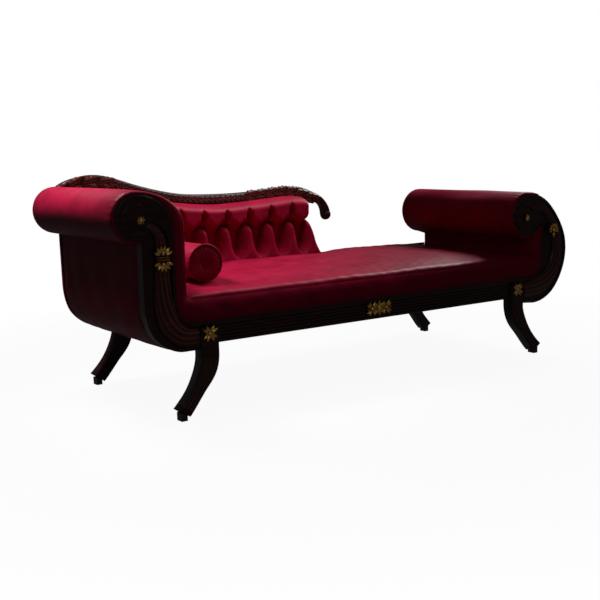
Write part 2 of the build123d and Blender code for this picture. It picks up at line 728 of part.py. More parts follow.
# ---- gilt mounts -----------------------------------------------------------------------------------
def leaf(root, length, width):
    """Pointed leaf along +z that starts at a distance from the middle."""
    tip = root + length
    waist = root + length * 0.55
    right = ThreePointArc((0, root), (width / 2, waist), (0, tip))
    left = ThreePointArc((0, tip), (-width / 2, waist), (0, root))
    return make_face([right, left])


def spray(angles, root, length, width):
    """Leaves fanned about a middle, at angles clockwise from straight up."""
    petals = None
    for angle in angles:
        petal = Rot(0, 0, -angle) * leaf(root, length, width)
        petals = petal if petals is None else petals + petal
    return petals


def mount(outline, x, z, bosses, proud=MOUNT_PROUD):
    """Cast mount: a pierced plate with round bosses, fixed on a wooden face."""
    front = -HALF_DEPTH - proud
    plate = Pos(x, 0, z) * board(outline, front + MOUNT_PLATE, MOUNT_PLATE)
    for boss_x, boss_z, radius in bosses:
        plate += rod_along_y(x + boss_x, z + boss_z, radius, front, front + 2 * MOUNT_PLATE)
    return plate


def horn_mount(outline, place, bosses, horn_path):
    """Mount bent over the crown of a horn: thick enough to reach it, then fitted to it."""
    return mount(outline, *place, bosses, FRONT_PROUD) - horn(horn_path)


def eye_rosette(place):
    """Small round flower by the eye of a scroll."""
    petals = spray([index * 45 for index in range(8)], 2, 17, 11) + Circle(8)
    return mount(petals, *place, [(0, 0, 6)])


def double_palmette():
    """Two fans of leaves, back to back on a tie ring."""
    up = Pos(0, 12) * spray((-75, -45, -15, 15, 45, 75), 4, 34, 15)
    down = Pos(0, -12) * spray((105, 135, 165, 195, 225, 255), 4, 34, 15)
    hubs = Pos(0, 12) * Circle(9) + Pos(0, -12) * Circle(9)
    tie = panel((-20, 20), (-6, 6))
    return horn_mount(up + down + hubs + tie, HEAD_HORN_MOUNT, [(0, 20, 6), (0, -20, 6)], HEAD_HORN)


def foot_palmette():
    """Fan of leaves with a tail, on the horn of the foot end."""
    fan = spray((-110, -75, -45, -15, 15, 45, 75, 110), 6, 33, 15) + spray((180,), 4, 32, 26)
    return horn_mount(fan + Circle(9), FOOT_HORN_MOUNT, [(0, 0, 7), (0, -18, 5)], FOOT_HORN)


def leg_mount(x):
    """Four double leaves in a cross at the top of a leg."""
    angles = [quarter * 90 + 45 + turn for quarter in range(4) for turn in (-17, 17)]
    cross = spray(angles, 3, 38, 13) + spray((0, 90, 180, 270), 3, 22, 12)
    return mount(cross + Circle(9), x, LEG_MOUNT_Z, [(0, 0, 7)], LEG_PROUD + MOUNT_PROUD)


def centre_mount():
    """Wide mount at the middle of the front rail: two sprays either side of a flower."""
    side_angles = (-150, -125, -55, -30, 30, 55, 125, 150)
    middle = spray([index * 45 for index in range(8)], 3, 34, 16)
    ends = [Pos(dx, 0) * spray(side_angles, 3, 36, 15) for dx in (-36, 36)]
    bar = panel((-60, 60), (-5, 5))
    bosses = [(0, 0, 8), (-36, 0, 6), (36, 0, 6)]
    return mount(middle + ends[0] + ends[1] + bar, 0, CENTRE_MOUNT_Z, bosses)


# ---- assembly --------------------------------------------------------------------------------------
def write(name, piece):
    """Move a finished piece to the shared origin and write it as its own file."""
    solids = piece if isinstance(piece, list) else [piece]
    placed = [Pos(*CENTRE_SHIFT) * solid for solid in solids]
    shape = placed[0] if len(placed) == 1 else Compound(children=placed)
    export_step(shape, f"parts/{name}.step")


def build():
    """Every piece of the recamier, by the name of its node."""
    opposite = Plane.YZ
    head_front_leg = mirror(front_leg(), about=opposite)
    head_front_glide = mirror(front_glide(), about=opposite)
    pieces = {
        "front_seat_rail": front_seat_rail(),
        "rear_seat_rail": rear_seat_rail(),
        "head_end_rail": end_rail(-1),
        "foot_end_rail": end_rail(1),
        "seat_brace_head": seat_brace(BRACE_XS[0]),
        "seat_brace_foot": seat_brace(BRACE_XS[1]),
        "corner_blocks": corner_blocks(),
        "leg_front_head": head_front_leg,
        "leg_front_foot": front_leg(),
        "leg_rear_head": to_back(head_front_leg),
        "leg_rear_foot": to_back(front_leg()),
        "glide_front_head": head_front_glide,
        "glide_front_foot": front_glide(),
        "glide_rear_head": to_back(head_front_glide),
        "glide_rear_foot": to_back(front_glide()),
        "leg_bolts": leg_bolts(),
        "head_front_facing": carved_facing(head_wood(), HEAD_HORN),
        "head_rear_facing": to_back(facing(head_full())),
        "foot_front_facing": carved_facing(foot_wood(), FOOT_HORN),
        "foot_rear_facing": to_back(facing(foot_outline(FOOT_ROLL, FOOT_WALL_X))),
        "head_horn": horn(HEAD_HORN),
        "foot_horn": horn(FOOT_HORN),
        "head_roll_core": roll_core(HEAD_EYE, CORE_HEAD),
        "foot_roll_core": roll_core(FOOT_EYE, CORE_FOOT),
        "head_arm_battens": arm_battens(HEAD_BATTENS),
        "foot_arm_battens": arm_battens(FOOT_BATTENS),
        "head_arm_pad": head_arm_pad(),
        "foot_arm_pad": foot_arm_pad(),
        "head_outer_panel": head_outer_panel(),
        "foot_outer_panel": foot_outer_panel(),
        "seat_springs": [zigzag_spring(spring_place(index)) for index in range(SPRING_COUNT)],
        "spring_clips": spring_clips(),
        "seat_deck": seat_deck(),
        "dust_cloth": dust_cloth(),
        "seat_pad": seat_pad(),
        "front_band": front_band(),
        "rear_band": rear_band(),
        "back_left_stile": back_left_stile(),
        "back_right_stile": back_right_stile(),
        "back_bottom_rail": back_bottom_rail(),
        "back_slats": [back_slat(x) for x in BACK_SLAT_XS],
        "back_webbing": back_webbing(),
        "back_pad": back_pad(),
        "back_buttons": back_buttons(),
        "back_outer_panel": back_outer_panel(),
        "crest_rail": crest_rail(),
        "bolster": bolster(),
        "bolster_buttons": bolster_buttons(),
        "head_eye_rosette": eye_rosette(HEAD_ROSETTE),
        "foot_eye_rosette": eye_rosette(FOOT_ROSETTE),
        "head_horn_mount": double_palmette(),
        "foot_horn_mount": foot_palmette(),
        "head_leg_mount": leg_mount(-LEG_X),
        "foot_leg_mount": leg_mount(LEG_X),
        "centre_mount": centre_mount(),
    }
    return pieces


if __name__ == "__main__":
    os.makedirs("parts", exist_ok=True)
    for node, piece in build().items():
        write(node, piece)
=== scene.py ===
import logging
import math
from dataclasses import dataclass
from enum import Enum
from typing import Iterable, Sequence

import bmesh
import bpy
import numpy as np
from mathutils import Matrix, Vector


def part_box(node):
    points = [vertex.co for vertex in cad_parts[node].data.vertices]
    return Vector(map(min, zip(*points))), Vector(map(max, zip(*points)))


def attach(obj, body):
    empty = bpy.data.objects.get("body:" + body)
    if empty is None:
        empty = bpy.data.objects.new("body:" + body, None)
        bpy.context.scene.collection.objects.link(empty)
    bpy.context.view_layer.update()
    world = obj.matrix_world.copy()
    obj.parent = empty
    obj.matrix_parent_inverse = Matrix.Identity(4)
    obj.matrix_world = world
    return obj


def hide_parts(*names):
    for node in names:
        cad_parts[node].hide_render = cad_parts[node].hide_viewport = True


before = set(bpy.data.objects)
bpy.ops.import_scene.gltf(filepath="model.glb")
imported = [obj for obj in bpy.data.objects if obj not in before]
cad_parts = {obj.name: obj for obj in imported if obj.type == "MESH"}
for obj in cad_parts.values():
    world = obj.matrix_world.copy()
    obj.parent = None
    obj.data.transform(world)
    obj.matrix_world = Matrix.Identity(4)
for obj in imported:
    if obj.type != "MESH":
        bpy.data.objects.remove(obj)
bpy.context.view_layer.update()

# Dresses a recamier: a leather day bed with scrolled ends, a buttoned half back and gilt mounts.
# Lengths are metres.  Shapes are worked out on the bench, whose plane y = 0 runs midway between
# the two wooden faces and whose x = 0 is midway along the rails, and are then moved to the frame.

LOG = logging.getLogger("recamier")
BED = "day_bed"
LOOSE = "bolster"
MM = 0.001
SAME_PLACE = 1e-6
MIDDLING = 0.5                  # relief of a plain surface, between hollow and crest
CLEAR = 0.5 * MM                # keeps two surfaces from lying in one plane
SOFT_CREASE = 38.0              # edges that turn by more than so many degrees stay crisp
CARVED_CREASE = 60.0


def bench_shift() -> np.ndarray:
    """Where the bench's origin lies in the shared frame, read from the two long rails."""
    front_low, front_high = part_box("front_seat_rail")
    rear_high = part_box("rear_seat_rail")[1]
    return np.array([(front_low.x + front_high.x) / 2, (front_low.y + rear_high.y) / 2, 0.0])


SHIFT = bench_shift()


# ---- curves and surfaces ----
def evenly(curve: np.ndarray, count: int) -> np.ndarray:
    """Points at equal arc length along a polyline.

    Args:
        curve: points in order, shape (n, d).
        count: how many points to return.

    Returns:
        Points p(s_i) with s_i = i L / (count - 1), where L is the length.
    """
    steps = np.linalg.norm(np.diff(curve, axis=0), axis=1)
    length = np.concatenate(([0.0], np.cumsum(steps)))
    wanted = np.linspace(0.0, length[-1], count)
    return np.stack([np.interp(wanted, length, axis) for axis in curve.T], axis=-1)


def spline(points: Sequence[Sequence[float]], count: int,
           ends: tuple[Sequence[float], Sequence[float]] | None = None) -> np.ndarray:
    """Cubic spline through the points, on chord length t.

    The second derivatives m solve h0 m0 + 2 (h0 + h1) m1 + h1 m2 = 6 (d1 - d0), with h the
    chords and d the chord slopes.  Free ends have m = 0.  Held ends leave along the unit
    direction T, so that 2 h m0 + h m1 = 6 (d - T) there.

    Args:
        points: the places that the curve passes through.
        count: how many evenly spaced points to return.
        ends: directions at the first and the last point, or None for free ends.

    Returns:
        The curve, shape (count, d).
    """
    places = np.asarray(points, float)
    last = len(places) - 1
    chord = np.linalg.norm(np.diff(places, axis=0), axis=1)
    knots = np.concatenate(([0.0], np.cumsum(chord)))
    slope = np.diff(places, axis=0) / chord[:, None]
    system = np.eye(last + 1)
    right = np.zeros_like(places)
    inner = np.arange(1, last)
    system[inner, inner - 1] = chord[:-1]
    system[inner, inner] = 2 * (chord[:-1] + chord[1:])
    system[inner, inner + 1] = chord[1:]
    right[1:-1] = 6 * np.diff(slope, axis=0)
    if ends is not None:
        leave, arrive = (np.asarray(end, float) / np.linalg.norm(end) for end in ends)
        system[0, :2] = 2 * chord[0], chord[0]
        system[last, -2:] = chord[-1], 2 * chord[-1]
        right[0] = 6 * (slope[0] - leave)
        right[last] = 6 * (arrive - slope[-1])
    bend = np.linalg.solve(system, right)
    t = np.linspace(0.0, knots[-1], 40 * last)
    cell = np.clip(np.searchsorted(knots, t, side="right") - 1, 0, last - 1)
    h = chord[cell][:, None]
    a = (knots[cell + 1] - t)[:, None]
    b = (t - knots[cell])[:, None]
    curve = (bend[cell] * a**3 + bend[cell + 1] * b**3) / (6 * h)
    curve += (places[cell] / h - bend[cell] * h / 6) * a
    curve += (places[cell + 1] / h - bend[cell + 1] * h / 6) * b
    return evenly(curve, count)


def arc(centre: Sequence[float], radii: float | Sequence[float], start: float, stop: float,
        count: int) -> np.ndarray:
    """Part of an ellipse.

    Args:
        centre: its middle (cx, cz).
        radii: one radius, or (a, b) along the two axes.
        start: first angle in degrees.
        stop: last angle.
        count: how many points to return.

    Returns:
        Points (cx + a cos q, cz + b sin q).
    """
    angle = np.radians(np.linspace(start, stop, count))
    turn = np.stack([np.cos(angle), np.sin(angle)], -1)
    return np.asarray(centre) + np.broadcast_to(radii, 2) * turn


def chain(*runs: np.ndarray) -> np.ndarray:
    """Runs of points joined end to end, without the repeated corner points."""
    joined = np.concatenate([np.asarray(run, float) for run in runs])
    keep = np.concatenate(([True], np.linalg.norm(np.diff(joined, axis=0), axis=1) > SAME_PLACE))
    return joined[keep]


def tangents(curve: np.ndarray, closed: bool = False) -> np.ndarray:
    """Unit tangents by central differences.

    Args:
        curve: points in order, shape (n, d).
        closed: whether the last point joins the first.

    Returns:
        One unit vector for each point.
    """
    if closed:
        step = np.roll(curve, -1, axis=0) - np.roll(curve, 1, axis=0)
    else:
        step = np.gradient(curve, axis=0)
    return step / np.maximum(np.linalg.norm(step, axis=-1, keepdims=True), 1e-12)


def left_normals(curve: np.ndarray, closed: bool = False) -> np.ndarray:
    """Unit normals (-dz, dx) on the left of an (x, z) curve."""
    along = tangents(curve, closed)
    return np.stack([-along[:, 1], along[:, 0]], -1)


def smooth(value: np.ndarray, low: float, high: float) -> np.ndarray:
    """Smooth step: 3 t^2 - 2 t^3 with t = (value - low) / (high - low), held within 0 and 1."""
    t = np.clip((value - low) / (high - low), 0.0, 1.0)
    return t * t * (3 - 2 * t)


def rounded(depth: np.ndarray, reach: float) -> np.ndarray:
    """Quarter circle from 0 at an edge to 1 at a depth of reach: sqrt(1 - (1 - d / reach)^2)."""
    return np.sqrt(1.0 - (1.0 - np.clip(depth / reach, 0.0, 1.0)) ** 2)


def unrest(a: np.ndarray, b: np.ndarray, size: float, seed: int) -> np.ndarray:
    """Slow unevenness between about -1 and 1: the mean of ten plane waves of random direction.

    Args:
        a: first coordinate in metres.
        b: second coordinate in metres.
        size: typical length of a wave.
        seed: picks the waves, so that each run gives the same surface.

    Returns:
        sum of sin(2 pi (fa a + fb b) + q) / sqrt(10), shaped as a and b together.
    """
    draw = np.random.RandomState(seed)
    total = np.zeros(np.broadcast(a, b).shape)
    for heading, stretch, phase in zip(draw.uniform(0, np.pi, 10), draw.uniform(0.6, 1.6, 10),
                                       draw.uniform(0, 2 * np.pi, 10)):
        wave = 2 * np.pi * stretch / size
        total = total + np.sin(wave * (np.cos(heading) * a + np.sin(heading) * b) + phase)
    return total / math.sqrt(10)


@dataclass
class Shell:
    """One surface: its points, and its faces as tuples of point numbers."""

    points: np.ndarray
    faces: list[tuple[int, ...]]
    relief: np.ndarray | None = None

    @staticmethod
    def grid(points: np.ndarray, wrap: bool = False, relief: np.ndarray | None = None) -> "Shell":
        """Quads over a grid of points.

        Args:
            points: shape (rows, columns, 3).
            wrap: whether the last column joins the first.
            relief: a value from 0, hollow, to 1, crest, for each point.

        Returns:
            The shell, with face (r, c), (r, c + 1), (r + 1, c + 1), (r + 1, c).
        """
        rows, columns = points.shape[:2]
        number = np.arange(rows * columns).reshape(rows, columns)
        across = np.concatenate([number, number[:, :1]], axis=1) if wrap else number
        quads = np.stack([across[:-1, :-1], across[:-1, 1:], across[1:, 1:], across[1:, :-1]], -1)
        flat = None if relief is None else np.asarray(relief, float).reshape(-1)
        return Shell(points.reshape(-1, 3), [tuple(q) for q in quads.reshape(-1, 4).tolist()], flat)

    @staticmethod
    def tube(points: np.ndarray, relief: np.ndarray | None = None) -> "Shell":
        """A grid whose columns wrap round, closed at both ends by a face."""
        shell = Shell.grid(points, True, relief)
        rows, columns = points.shape[:2]
        first = tuple(range(columns))
        last = tuple(range((rows - 1) * columns, rows * columns))
        shell.faces += [first[::-1], last]
        return shell

    @staticmethod
    def slab(upper: np.ndarray, lower: np.ndarray) -> "Shell":
        """Two grids of one shape, joined round their rims into a closed solid."""
        rows, columns = upper.shape[:2]
        number = np.arange(rows * columns).reshape(rows, columns)
        rim = np.concatenate([number[0], number[1:, -1], number[-1, -2::-1], number[-2:0:-1, 0]])
        count = rows * columns
        top, bottom = Shell.grid(upper), Shell.grid(lower)
        faces = list(top.faces)
        faces += [tuple(index + count for index in face[::-1]) for face in bottom.faces]
        sides = np.stack([rim, rim + count, np.roll(rim, -1) + count, np.roll(rim, -1)], -1)
        faces += [tuple(face) for face in sides.tolist()]
        return Shell(np.concatenate([top.points, bottom.points]), faces)

    def carving(self) -> np.ndarray:
        """The relief of each point, which is middling all over a plain shell."""
        return np.full(len(self.points), MIDDLING) if self.relief is None else self.relief

    def moved(self, matrix: np.ndarray, place: Sequence[float]) -> "Shell":
        """The shell turned by a 3 by 3 matrix and set at a place: p' = M p + c."""
        return Shell(self.points @ np.asarray(matrix, float).T + np.asarray(place, float),
                     self.faces, self.relief)


def joined(shells: Sequence[Shell]) -> Shell:
    """Several shells as one.

    Args:
        shells: the shells, in order.

    Returns:
        One shell with all their points and faces.
    """
    faces, start = [], 0
    for shell in shells:
        faces += [tuple(index + start for index in face) for face in shell.faces]
        start += len(shell.points)
    return Shell(np.concatenate([shell.points for shell in shells]), faces,
                 np.concatenate([shell.carving() for shell in shells]))


def stand(flat: np.ndarray, y: np.ndarray | float) -> np.ndarray:
    """Points (x, y, z) of an (x, z) figure, with one y for all or one for each point."""
    return np.stack([flat[..., 0], np.broadcast_to(y, flat.shape[:-1]), flat[..., 1]], -1)


def across(section: np.ndarray, stations: np.ndarray, swell: np.ndarray) -> np.ndarray:
    """Carries an (x, z) section along Y.

    Args:
        section: the section's points, its outside on its left.
        stations: the y of each copy.
        swell: how far each point moves outwards, shape (stations, section).

    Returns:
        Grid (x, y, z) with (x, z) = c(s) + n(s) swell(t, s).
    """
    return stand(section + left_normals(section) * swell[..., None], stations[:, None])


def cord_round(path: np.ndarray, radius: float, sides: int = 8, closed: bool = False) -> Shell:
    """A round cord along a path: p(s) + r (cos q u + sin q v), with u and v square to the path.

    Args:
        path: points in order, shape (n, 3).
        radius: the cord's radius.
        sides: faces round the cord.
        closed: whether the path is a loop.

    Returns:
        The cord, closed at both ends unless the path is a loop.
    """
    along = tangents(path, closed)
    helper = np.where(np.abs(along[:, 1:2]) > 0.9, [[1.0, 0.0, 0.0]], [[0.0, 1.0, 0.0]])
    side = np.cross(along, helper)
    side /= np.linalg.norm(side, axis=1, keepdims=True)
    up = np.cross(side, along)
    angle = np.linspace(0, 2 * np.pi, sides, endpoint=False)
    ring = np.cos(angle)[None, :, None] * side[:, None] + np.sin(angle)[None, :, None] * up[:, None]
    grid = path[:, None] + radius * ring
    if closed:
        return Shell.grid(np.concatenate([grid, grid[:1]]), True)
    return Shell.tube(grid)


def stations_between(low: float, high: float, count: int) -> np.ndarray:
    """Places crowded towards both ends.

    Args:
        low: the first place.
        high: the last place.
        count: how many places n + 1 to return.

    Returns:
        low + (high - low) (c (1 - cos(pi i / n)) / 2 + (1 - c) i / n), with c the crowding.
    """
    crowding = 0.55
    even = np.linspace(0, 1, count)
    return low + (high - low) * (crowding * (1 - np.cos(np.pi * even)) / 2 + (1 - crowding) * even)


# ---- finishes ----
def linear(code: str) -> tuple[float, float, float, float]:
    """Linear RGBA of sRGB hex: c / 12.92 up to 0.04045, else ((c + 0.055) / 1.055)^2.4."""
    parts = [int(code[i:i + 2], 16) / 255 for i in (1, 3, 5)]
    line = [c / 12.92 if c <= 0.04045 else ((c + 0.055) / 1.055) ** 2.4 for c in parts]
    return (line[0], line[1], line[2], 1.0)


def add_node(tree: bpy.types.NodeTree, kind: str, inputs: dict | None = None,
             stops: Sequence[tuple[float, str]] = (), **settings: object) -> bpy.types.Node:
    """Adds a shader node.

    Args:
        tree: the tree that it goes into.
        kind: the node's type, without the word ShaderNode.
        inputs: socket name or number to a value, or to (node, output name or number).
        stops: a colour ramp's stops, each a place and a hex colour.
        settings: the node's own properties.

    Returns:
        The node, set and linked.
    """
    node = tree.nodes.new("ShaderNode" + kind)
    for name, value in settings.items():
        setattr(node, name, value)
    for name, value in (inputs or {}).items():
        if isinstance(value, tuple) and isinstance(value[0], bpy.types.Node):
            tree.links.new(value[0].outputs[value[1]], node.inputs[name])
        else:
            node.inputs[name].default_value = value
    for index, (place, code) in enumerate(stops):
        elements = node.color_ramp.elements
        element = elements[index] if index < len(elements) else elements.new(1.0)
        element.position, element.color = place, linear(code)
    return node


@dataclass(frozen=True)
class Finish:
    """What every finish shares: the name of its material and the record's slot."""

    label: str
    slot: str

    def sockets(self, tree: bpy.types.NodeTree, where: tuple[bpy.types.Node, str]) -> dict:
        """Builds the finish's pattern.

        Args:
            tree: the material's tree.
            where: the output that gives Object coordinates.

        Returns:
            The principled shader's sockets, as add_node takes them.
        """
        raise NotImplementedError

    def material(self) -> bpy.types.Material:
        """The material, made once."""
        made = bpy.data.materials.get(self.label)
        if made is None:
            made = bpy.data.materials.new(self.label)
            made.use_nodes = True
            tree = made.node_tree
            tree.nodes.clear()
            sockets = self.sockets(tree, (add_node(tree, "TexCoord"), "Object"))
            shader = add_node(tree, "BsdfPrincipled", sockets)
            add_node(tree, "OutputMaterial", {"Surface": (shader, 0)})
        return made

    def dress(self, piece: bpy.types.Object) -> None:
        """Puts the material on a piece in place of whatever it had."""
        piece.data.materials.clear()
        piece.data.materials.append(self.material())


@dataclass(frozen=True)
class Leather(Finish):
    """Upholstery hide: pigmented, plated to a gloss, with a pebbled grain and slack creases."""

    base: str = "#980e32"
    deep: str = "#880b2b"
    worn: str = "#a4123a"
    mottle: float = 90 * MM
    grain: float = 2.6 * MM          # real pebbles are about 1 mm across: drawn coarser to show
    crease: float = 38 * MM
    roughness: float = 0.45
    gloss: float = 0.09

    def sockets(self, tree: bpy.types.NodeTree, where: tuple[bpy.types.Node, str]) -> dict:
        """Mottled dye, pebbles between fine channels, and long shallow creases."""
        cloud = add_node(tree, "TexNoise", {"Vector": where, "Scale": 1 / self.mottle,
                                            "Detail": 4.0, "Roughness": 0.6})
        dye = add_node(tree, "ValToRGB", {"Fac": (cloud, "Fac")},
                       [(0.30, self.deep), (0.52, self.base), (0.74, self.worn)])
        pebble = add_node(tree, "TexVoronoi", {"Vector": where, "Scale": 1 / self.grain},
                          feature="SMOOTH_F1")
        fold = add_node(tree, "TexNoise", {"Vector": where, "Scale": 1 / self.crease, "Detail": 5.0,
                                           "Roughness": 0.55, "Distortion": 0.6})
        height = add_node(tree, "Math", {0: (pebble, "Distance"), 1: -0.35, 2: (fold, "Fac")},
                          operation="MULTIPLY_ADD")
        bump = add_node(tree, "Bump", {"Height": (height, 0), "Strength": 0.14,
                                       "Distance": 1.0 * MM})
        rough = add_node(tree, "MapRange", {"Value": (cloud, "Fac"), "From Min": 0.3,
                                            "From Max": 0.7, "To Min": self.roughness - 0.03,
                                            "To Max": self.roughness + 0.04})
        return {"Base Color": (dye, "Color"), "Roughness": (rough, "Result"),
                "Normal": (bump, "Normal"), "IOR": 1.45, "Specular IOR Level": self.gloss}


@dataclass(frozen=True)
class Wood(Finish):
    """Figured timber cut along X: streaks of growth rings, pores and a polished or sawn face."""

    dark: str = "#1a0a0b"
    middle: str = "#2c100e"
    light: str = "#4a2018"
    # colour that crests of carving turn towards: partly wear from rubbing, partly painted highlight
    rubbed_and_highlit: str = "#6b3524"
    wander: float = 60 * MM
    ring: float = 14 * MM
    pore: float = 2.2 * MM           # real pores are 0.3 mm wide: drawn coarser to show
    roughness: float = 0.34
    gloss: float = 0.20
    coat: float = 0.05
    stretch: tuple[float, float, float] = (0.10, 1.0, 1.0)

    def sockets(self, tree: bpy.types.NodeTree, where: tuple[bpy.types.Node, str]) -> dict:
        """Rings drawn out along the board; crests of carving are lighter than hollows, partly from
        wear by rubbing and partly as a painted highlight.
        """
        board = (add_node(tree, "Mapping", {"Vector": where, "Scale": self.stretch}), 0)
        wander = add_node(tree, "TexNoise", {"Vector": board, "Scale": 1 / self.wander,
                                             "Detail": 3.0, "Distortion": 0.4})
        figure = add_node(tree, "TexNoise", {"Vector": board, "Scale": 1 / self.ring, "Detail": 8.0,
                                             "Roughness": 0.68, "Distortion": 1.1})
        pores = add_node(tree, "TexNoise", {"Vector": board, "Scale": 1 / self.pore, "Detail": 2.0})
        mixed = add_node(tree, "Math", {0: (figure, "Fac"), 1: 0.7}, operation="MULTIPLY")
        mixed = add_node(tree, "Math", {0: (wander, "Fac"), 1: 0.3, 2: (mixed, 0)},
                         operation="MULTIPLY_ADD")
        tone = add_node(tree, "ValToRGB", {"Fac": (mixed, 0)},
                        [(0.36, self.dark), (0.50, self.middle), (0.66, self.light)])
        # Crests of carving lighten towards the crest colour: partly wear from rubbing, partly a
        # painted highlight where they would catch the light.
        carved = add_node(tree, "Attribute", attribute_name="relief")
        lift = add_node(tree, "MapRange", {"Value": (carved, "Fac"), "From Min": 0.55,
                                           "From Max": 1.0, "To Min": 0.0, "To Max": 0.65})
        rubbed_and_highlit_tone = add_node(tree, "Mix", {0: (lift, "Result"), 6: (tone, "Color"),
                                      7: linear(self.rubbed_and_highlit)}, data_type="RGBA")
        height = add_node(tree, "Math", {0: (pores, "Fac"), 1: (figure, "Fac")}, operation="ADD")
        bump = add_node(tree, "Bump", {"Height": (height, 0), "Strength": 0.10,
                                       "Distance": 0.5 * MM})
        rough = add_node(tree, "MapRange", {"Value": (pores, "Fac"),
                                            "To Min": self.roughness - 0.06,
                                            "To Max": self.roughness + 0.12})
        return {"Base Color": (rubbed_and_highlit_tone, 2), "Roughness": (rough, "Result"), "Normal": (bump, "Normal"),
                "Specular IOR Level": self.gloss, "Coat Weight": self.coat, "Coat Roughness": 0.15}


@dataclass(frozen=True)
class Gilt(Finish):
    """Fire-gilt brass: soft gold on the crests, brown tarnish settled in the hollows."""

    gold: str = "#e2b264"
    shade: str = "#855a28"
    tarnish: str = "#160c05"
    patch: float = 9 * MM

    def sockets(self, tree: bpy.types.NodeTree, where: tuple[bpy.types.Node, str]) -> dict:
        """Gold by relief, with cloudy wear and a cast surface."""
        cloud = add_node(tree, "TexNoise", {"Vector": where, "Scale": 1 / self.patch,
                                            "Detail": 5.0})
        carved = add_node(tree, "Attribute", attribute_name="relief")
        wear = add_node(tree, "Math", {0: (cloud, "Fac"), 1: 0.35, 2: (carved, "Fac")},
                        operation="MULTIPLY_ADD")
        tone = add_node(tree, "ValToRGB", {"Fac": (wear, 0)},
                        [(0.46, self.tarnish), (0.70, self.shade), (1.0, self.gold)])
        rough = add_node(tree, "MapRange", {"Value": (wear, 0), "From Min": 0.2, "From Max": 1.1,
                                            "To Min": 0.55, "To Max": 0.24})
        bump = add_node(tree, "Bump", {"Height": (cloud, "Fac"), "Strength": 0.18,
                                       "Distance": 0.4 * MM})
        return {"Base Color": (tone, "Color"), "Roughness": (rough, "Result"),
                "Normal": (bump, "Normal"), "Metallic": 1.0}


@dataclass(frozen=True)
class Steel(Finish):
    """Drawn spring steel with an oily grey skin."""

    light: str = "#8d8f92"
    dark: str = "#55585c"
    streak: float = 3 * MM

    def sockets(self, tree: bpy.types.NodeTree, where: tuple[bpy.types.Node, str]) -> dict:
        """Streaks of drawing marks in grey metal."""
        marks = add_node(tree, "TexNoise", {"Vector": where, "Scale": 1 / self.streak,
                                            "Detail": 3.0})
        tone = add_node(tree, "ValToRGB", {"Fac": (marks, "Fac")},
                        [(0.35, self.dark), (0.65, self.light)])
        rough = add_node(tree, "MapRange", {"Value": (marks, "Fac"), "To Min": 0.28,
                                            "To Max": 0.45})
        return {"Base Color": (tone, "Color"), "Roughness": (rough, "Result"), "Metallic": 1.0}


@dataclass(frozen=True)
class Moulded(Finish):
    """Injection-moulded nylon with a fine spark-eroded texture."""

    tone: str = "#1b1615"
    scuffed: str = "#2d2725"
    pit: float = 1.2 * MM            # real pits are 0.1 mm across: drawn coarser to show

    def sockets(self, tree: bpy.types.NodeTree, where: tuple[bpy.types.Node, str]) -> dict:
        """Even dark colour with a scuffed, finely pitted skin."""
        pits = add_node(tree, "TexNoise", {"Vector": where, "Scale": 1 / self.pit, "Detail": 2.0})
        bump = add_node(tree, "Bump", {"Height": (pits, "Fac"), "Strength": 0.2,
                                       "Distance": 0.3 * MM})
        scuff = add_node(tree, "ValToRGB", {"Fac": (pits, "Fac")},
                         [(0.4, self.tone), (0.75, self.scuffed)])
        return {"Base Color": (scuff, "Color"), "Normal": (bump, "Normal"), "Roughness": 0.5}


@dataclass(frozen=True)
class Woven(Finish):
    """Plain weave: warp and weft as two crossed waves, over and under in turn."""

    yarn: str = "#9c8258"
    gap: str = "#5d4a2d"
    pitch: float = 2.4 * MM

    def sockets(self, tree: bpy.types.NodeTree, where: tuple[bpy.types.Node, str]) -> dict:
        """Threads from two band waves, dusty colour between them."""
        wave = 0.314                     # a band wave of scale 1 repeats after this many metres
        warp, weft = (add_node(tree, "TexWave", {"Vector": where, "Scale": wave / self.pitch,
                                                 "Distortion": 0.6}, bands_direction=way)
                      for way in "XY")
        cross = add_node(tree, "Math", {0: (warp, "Fac"), 1: (weft, "Fac")}, operation="MAXIMUM")
        tone = add_node(tree, "ValToRGB", {"Fac": (cross, 0)}, [(0.25, self.gap), (0.7, self.yarn)])
        bump = add_node(tree, "Bump", {"Height": (cross, 0), "Strength": 0.4, "Distance": 0.6 * MM})
        return {"Base Color": (tone, "Color"), "Normal": (bump, "Normal"), "Roughness": 0.92,
                "Specular IOR Level": 0.2}


CRIMSON_LEATHER = Leather("glazed_crimson_hide", "crimson_leather")
PIPING_LEATHER = Leather("glazed_crimson_piping", "crimson_leather", base="#8f0c2f", deep="#7c0a2a",
                         worn="#9d1236", crease=15 * MM)
MAHOGANY = Wood("polished_mahogany", "mahogany")
# Carved mahogany's light crest colour is partly wear from rubbing and partly painted highlight.
CARVED_MAHOGANY = Wood("carved_mahogany", "mahogany", dark="#230a0c", middle="#3c1213",
                       light="#5c221d", rubbed_and_highlit="#8f4a3c", roughness=0.32, coat=0.08)
SAWN_BEECH = Wood("sawn_beech", "frame_beech", dark="#8a6540", middle="#a9805a", light="#c29d74",
                  rubbed_and_highlit="#c9a67e", ring=9 * MM, roughness=0.68, gloss=0.25, coat=0.0)
STAINED_BEECH = Wood("stained_beech", "frame_beech", dark="#24110d", middle="#371b14",
                     light="#4f2a1d", rubbed_and_highlit="#63382a", ring=9 * MM, roughness=0.5, gloss=0.25,
                     coat=0.0)
GILT_BRASS = Gilt("fire_gilt_brass", "gilt_brass")
SPRING_STEEL = Steel("drawn_spring_steel", "spring_steel")
GLIDE_NYLON = Moulded("moulded_nylon", "glide_nylon")
HESSIAN = Woven("hessian_cloth", "hessian", pitch=2.2 * MM)
WEBBING = Woven("jute_webbing_cloth", "jute_webbing", yarn="#8a6c42", gap="#4f3c22",
                pitch=3.0 * MM)
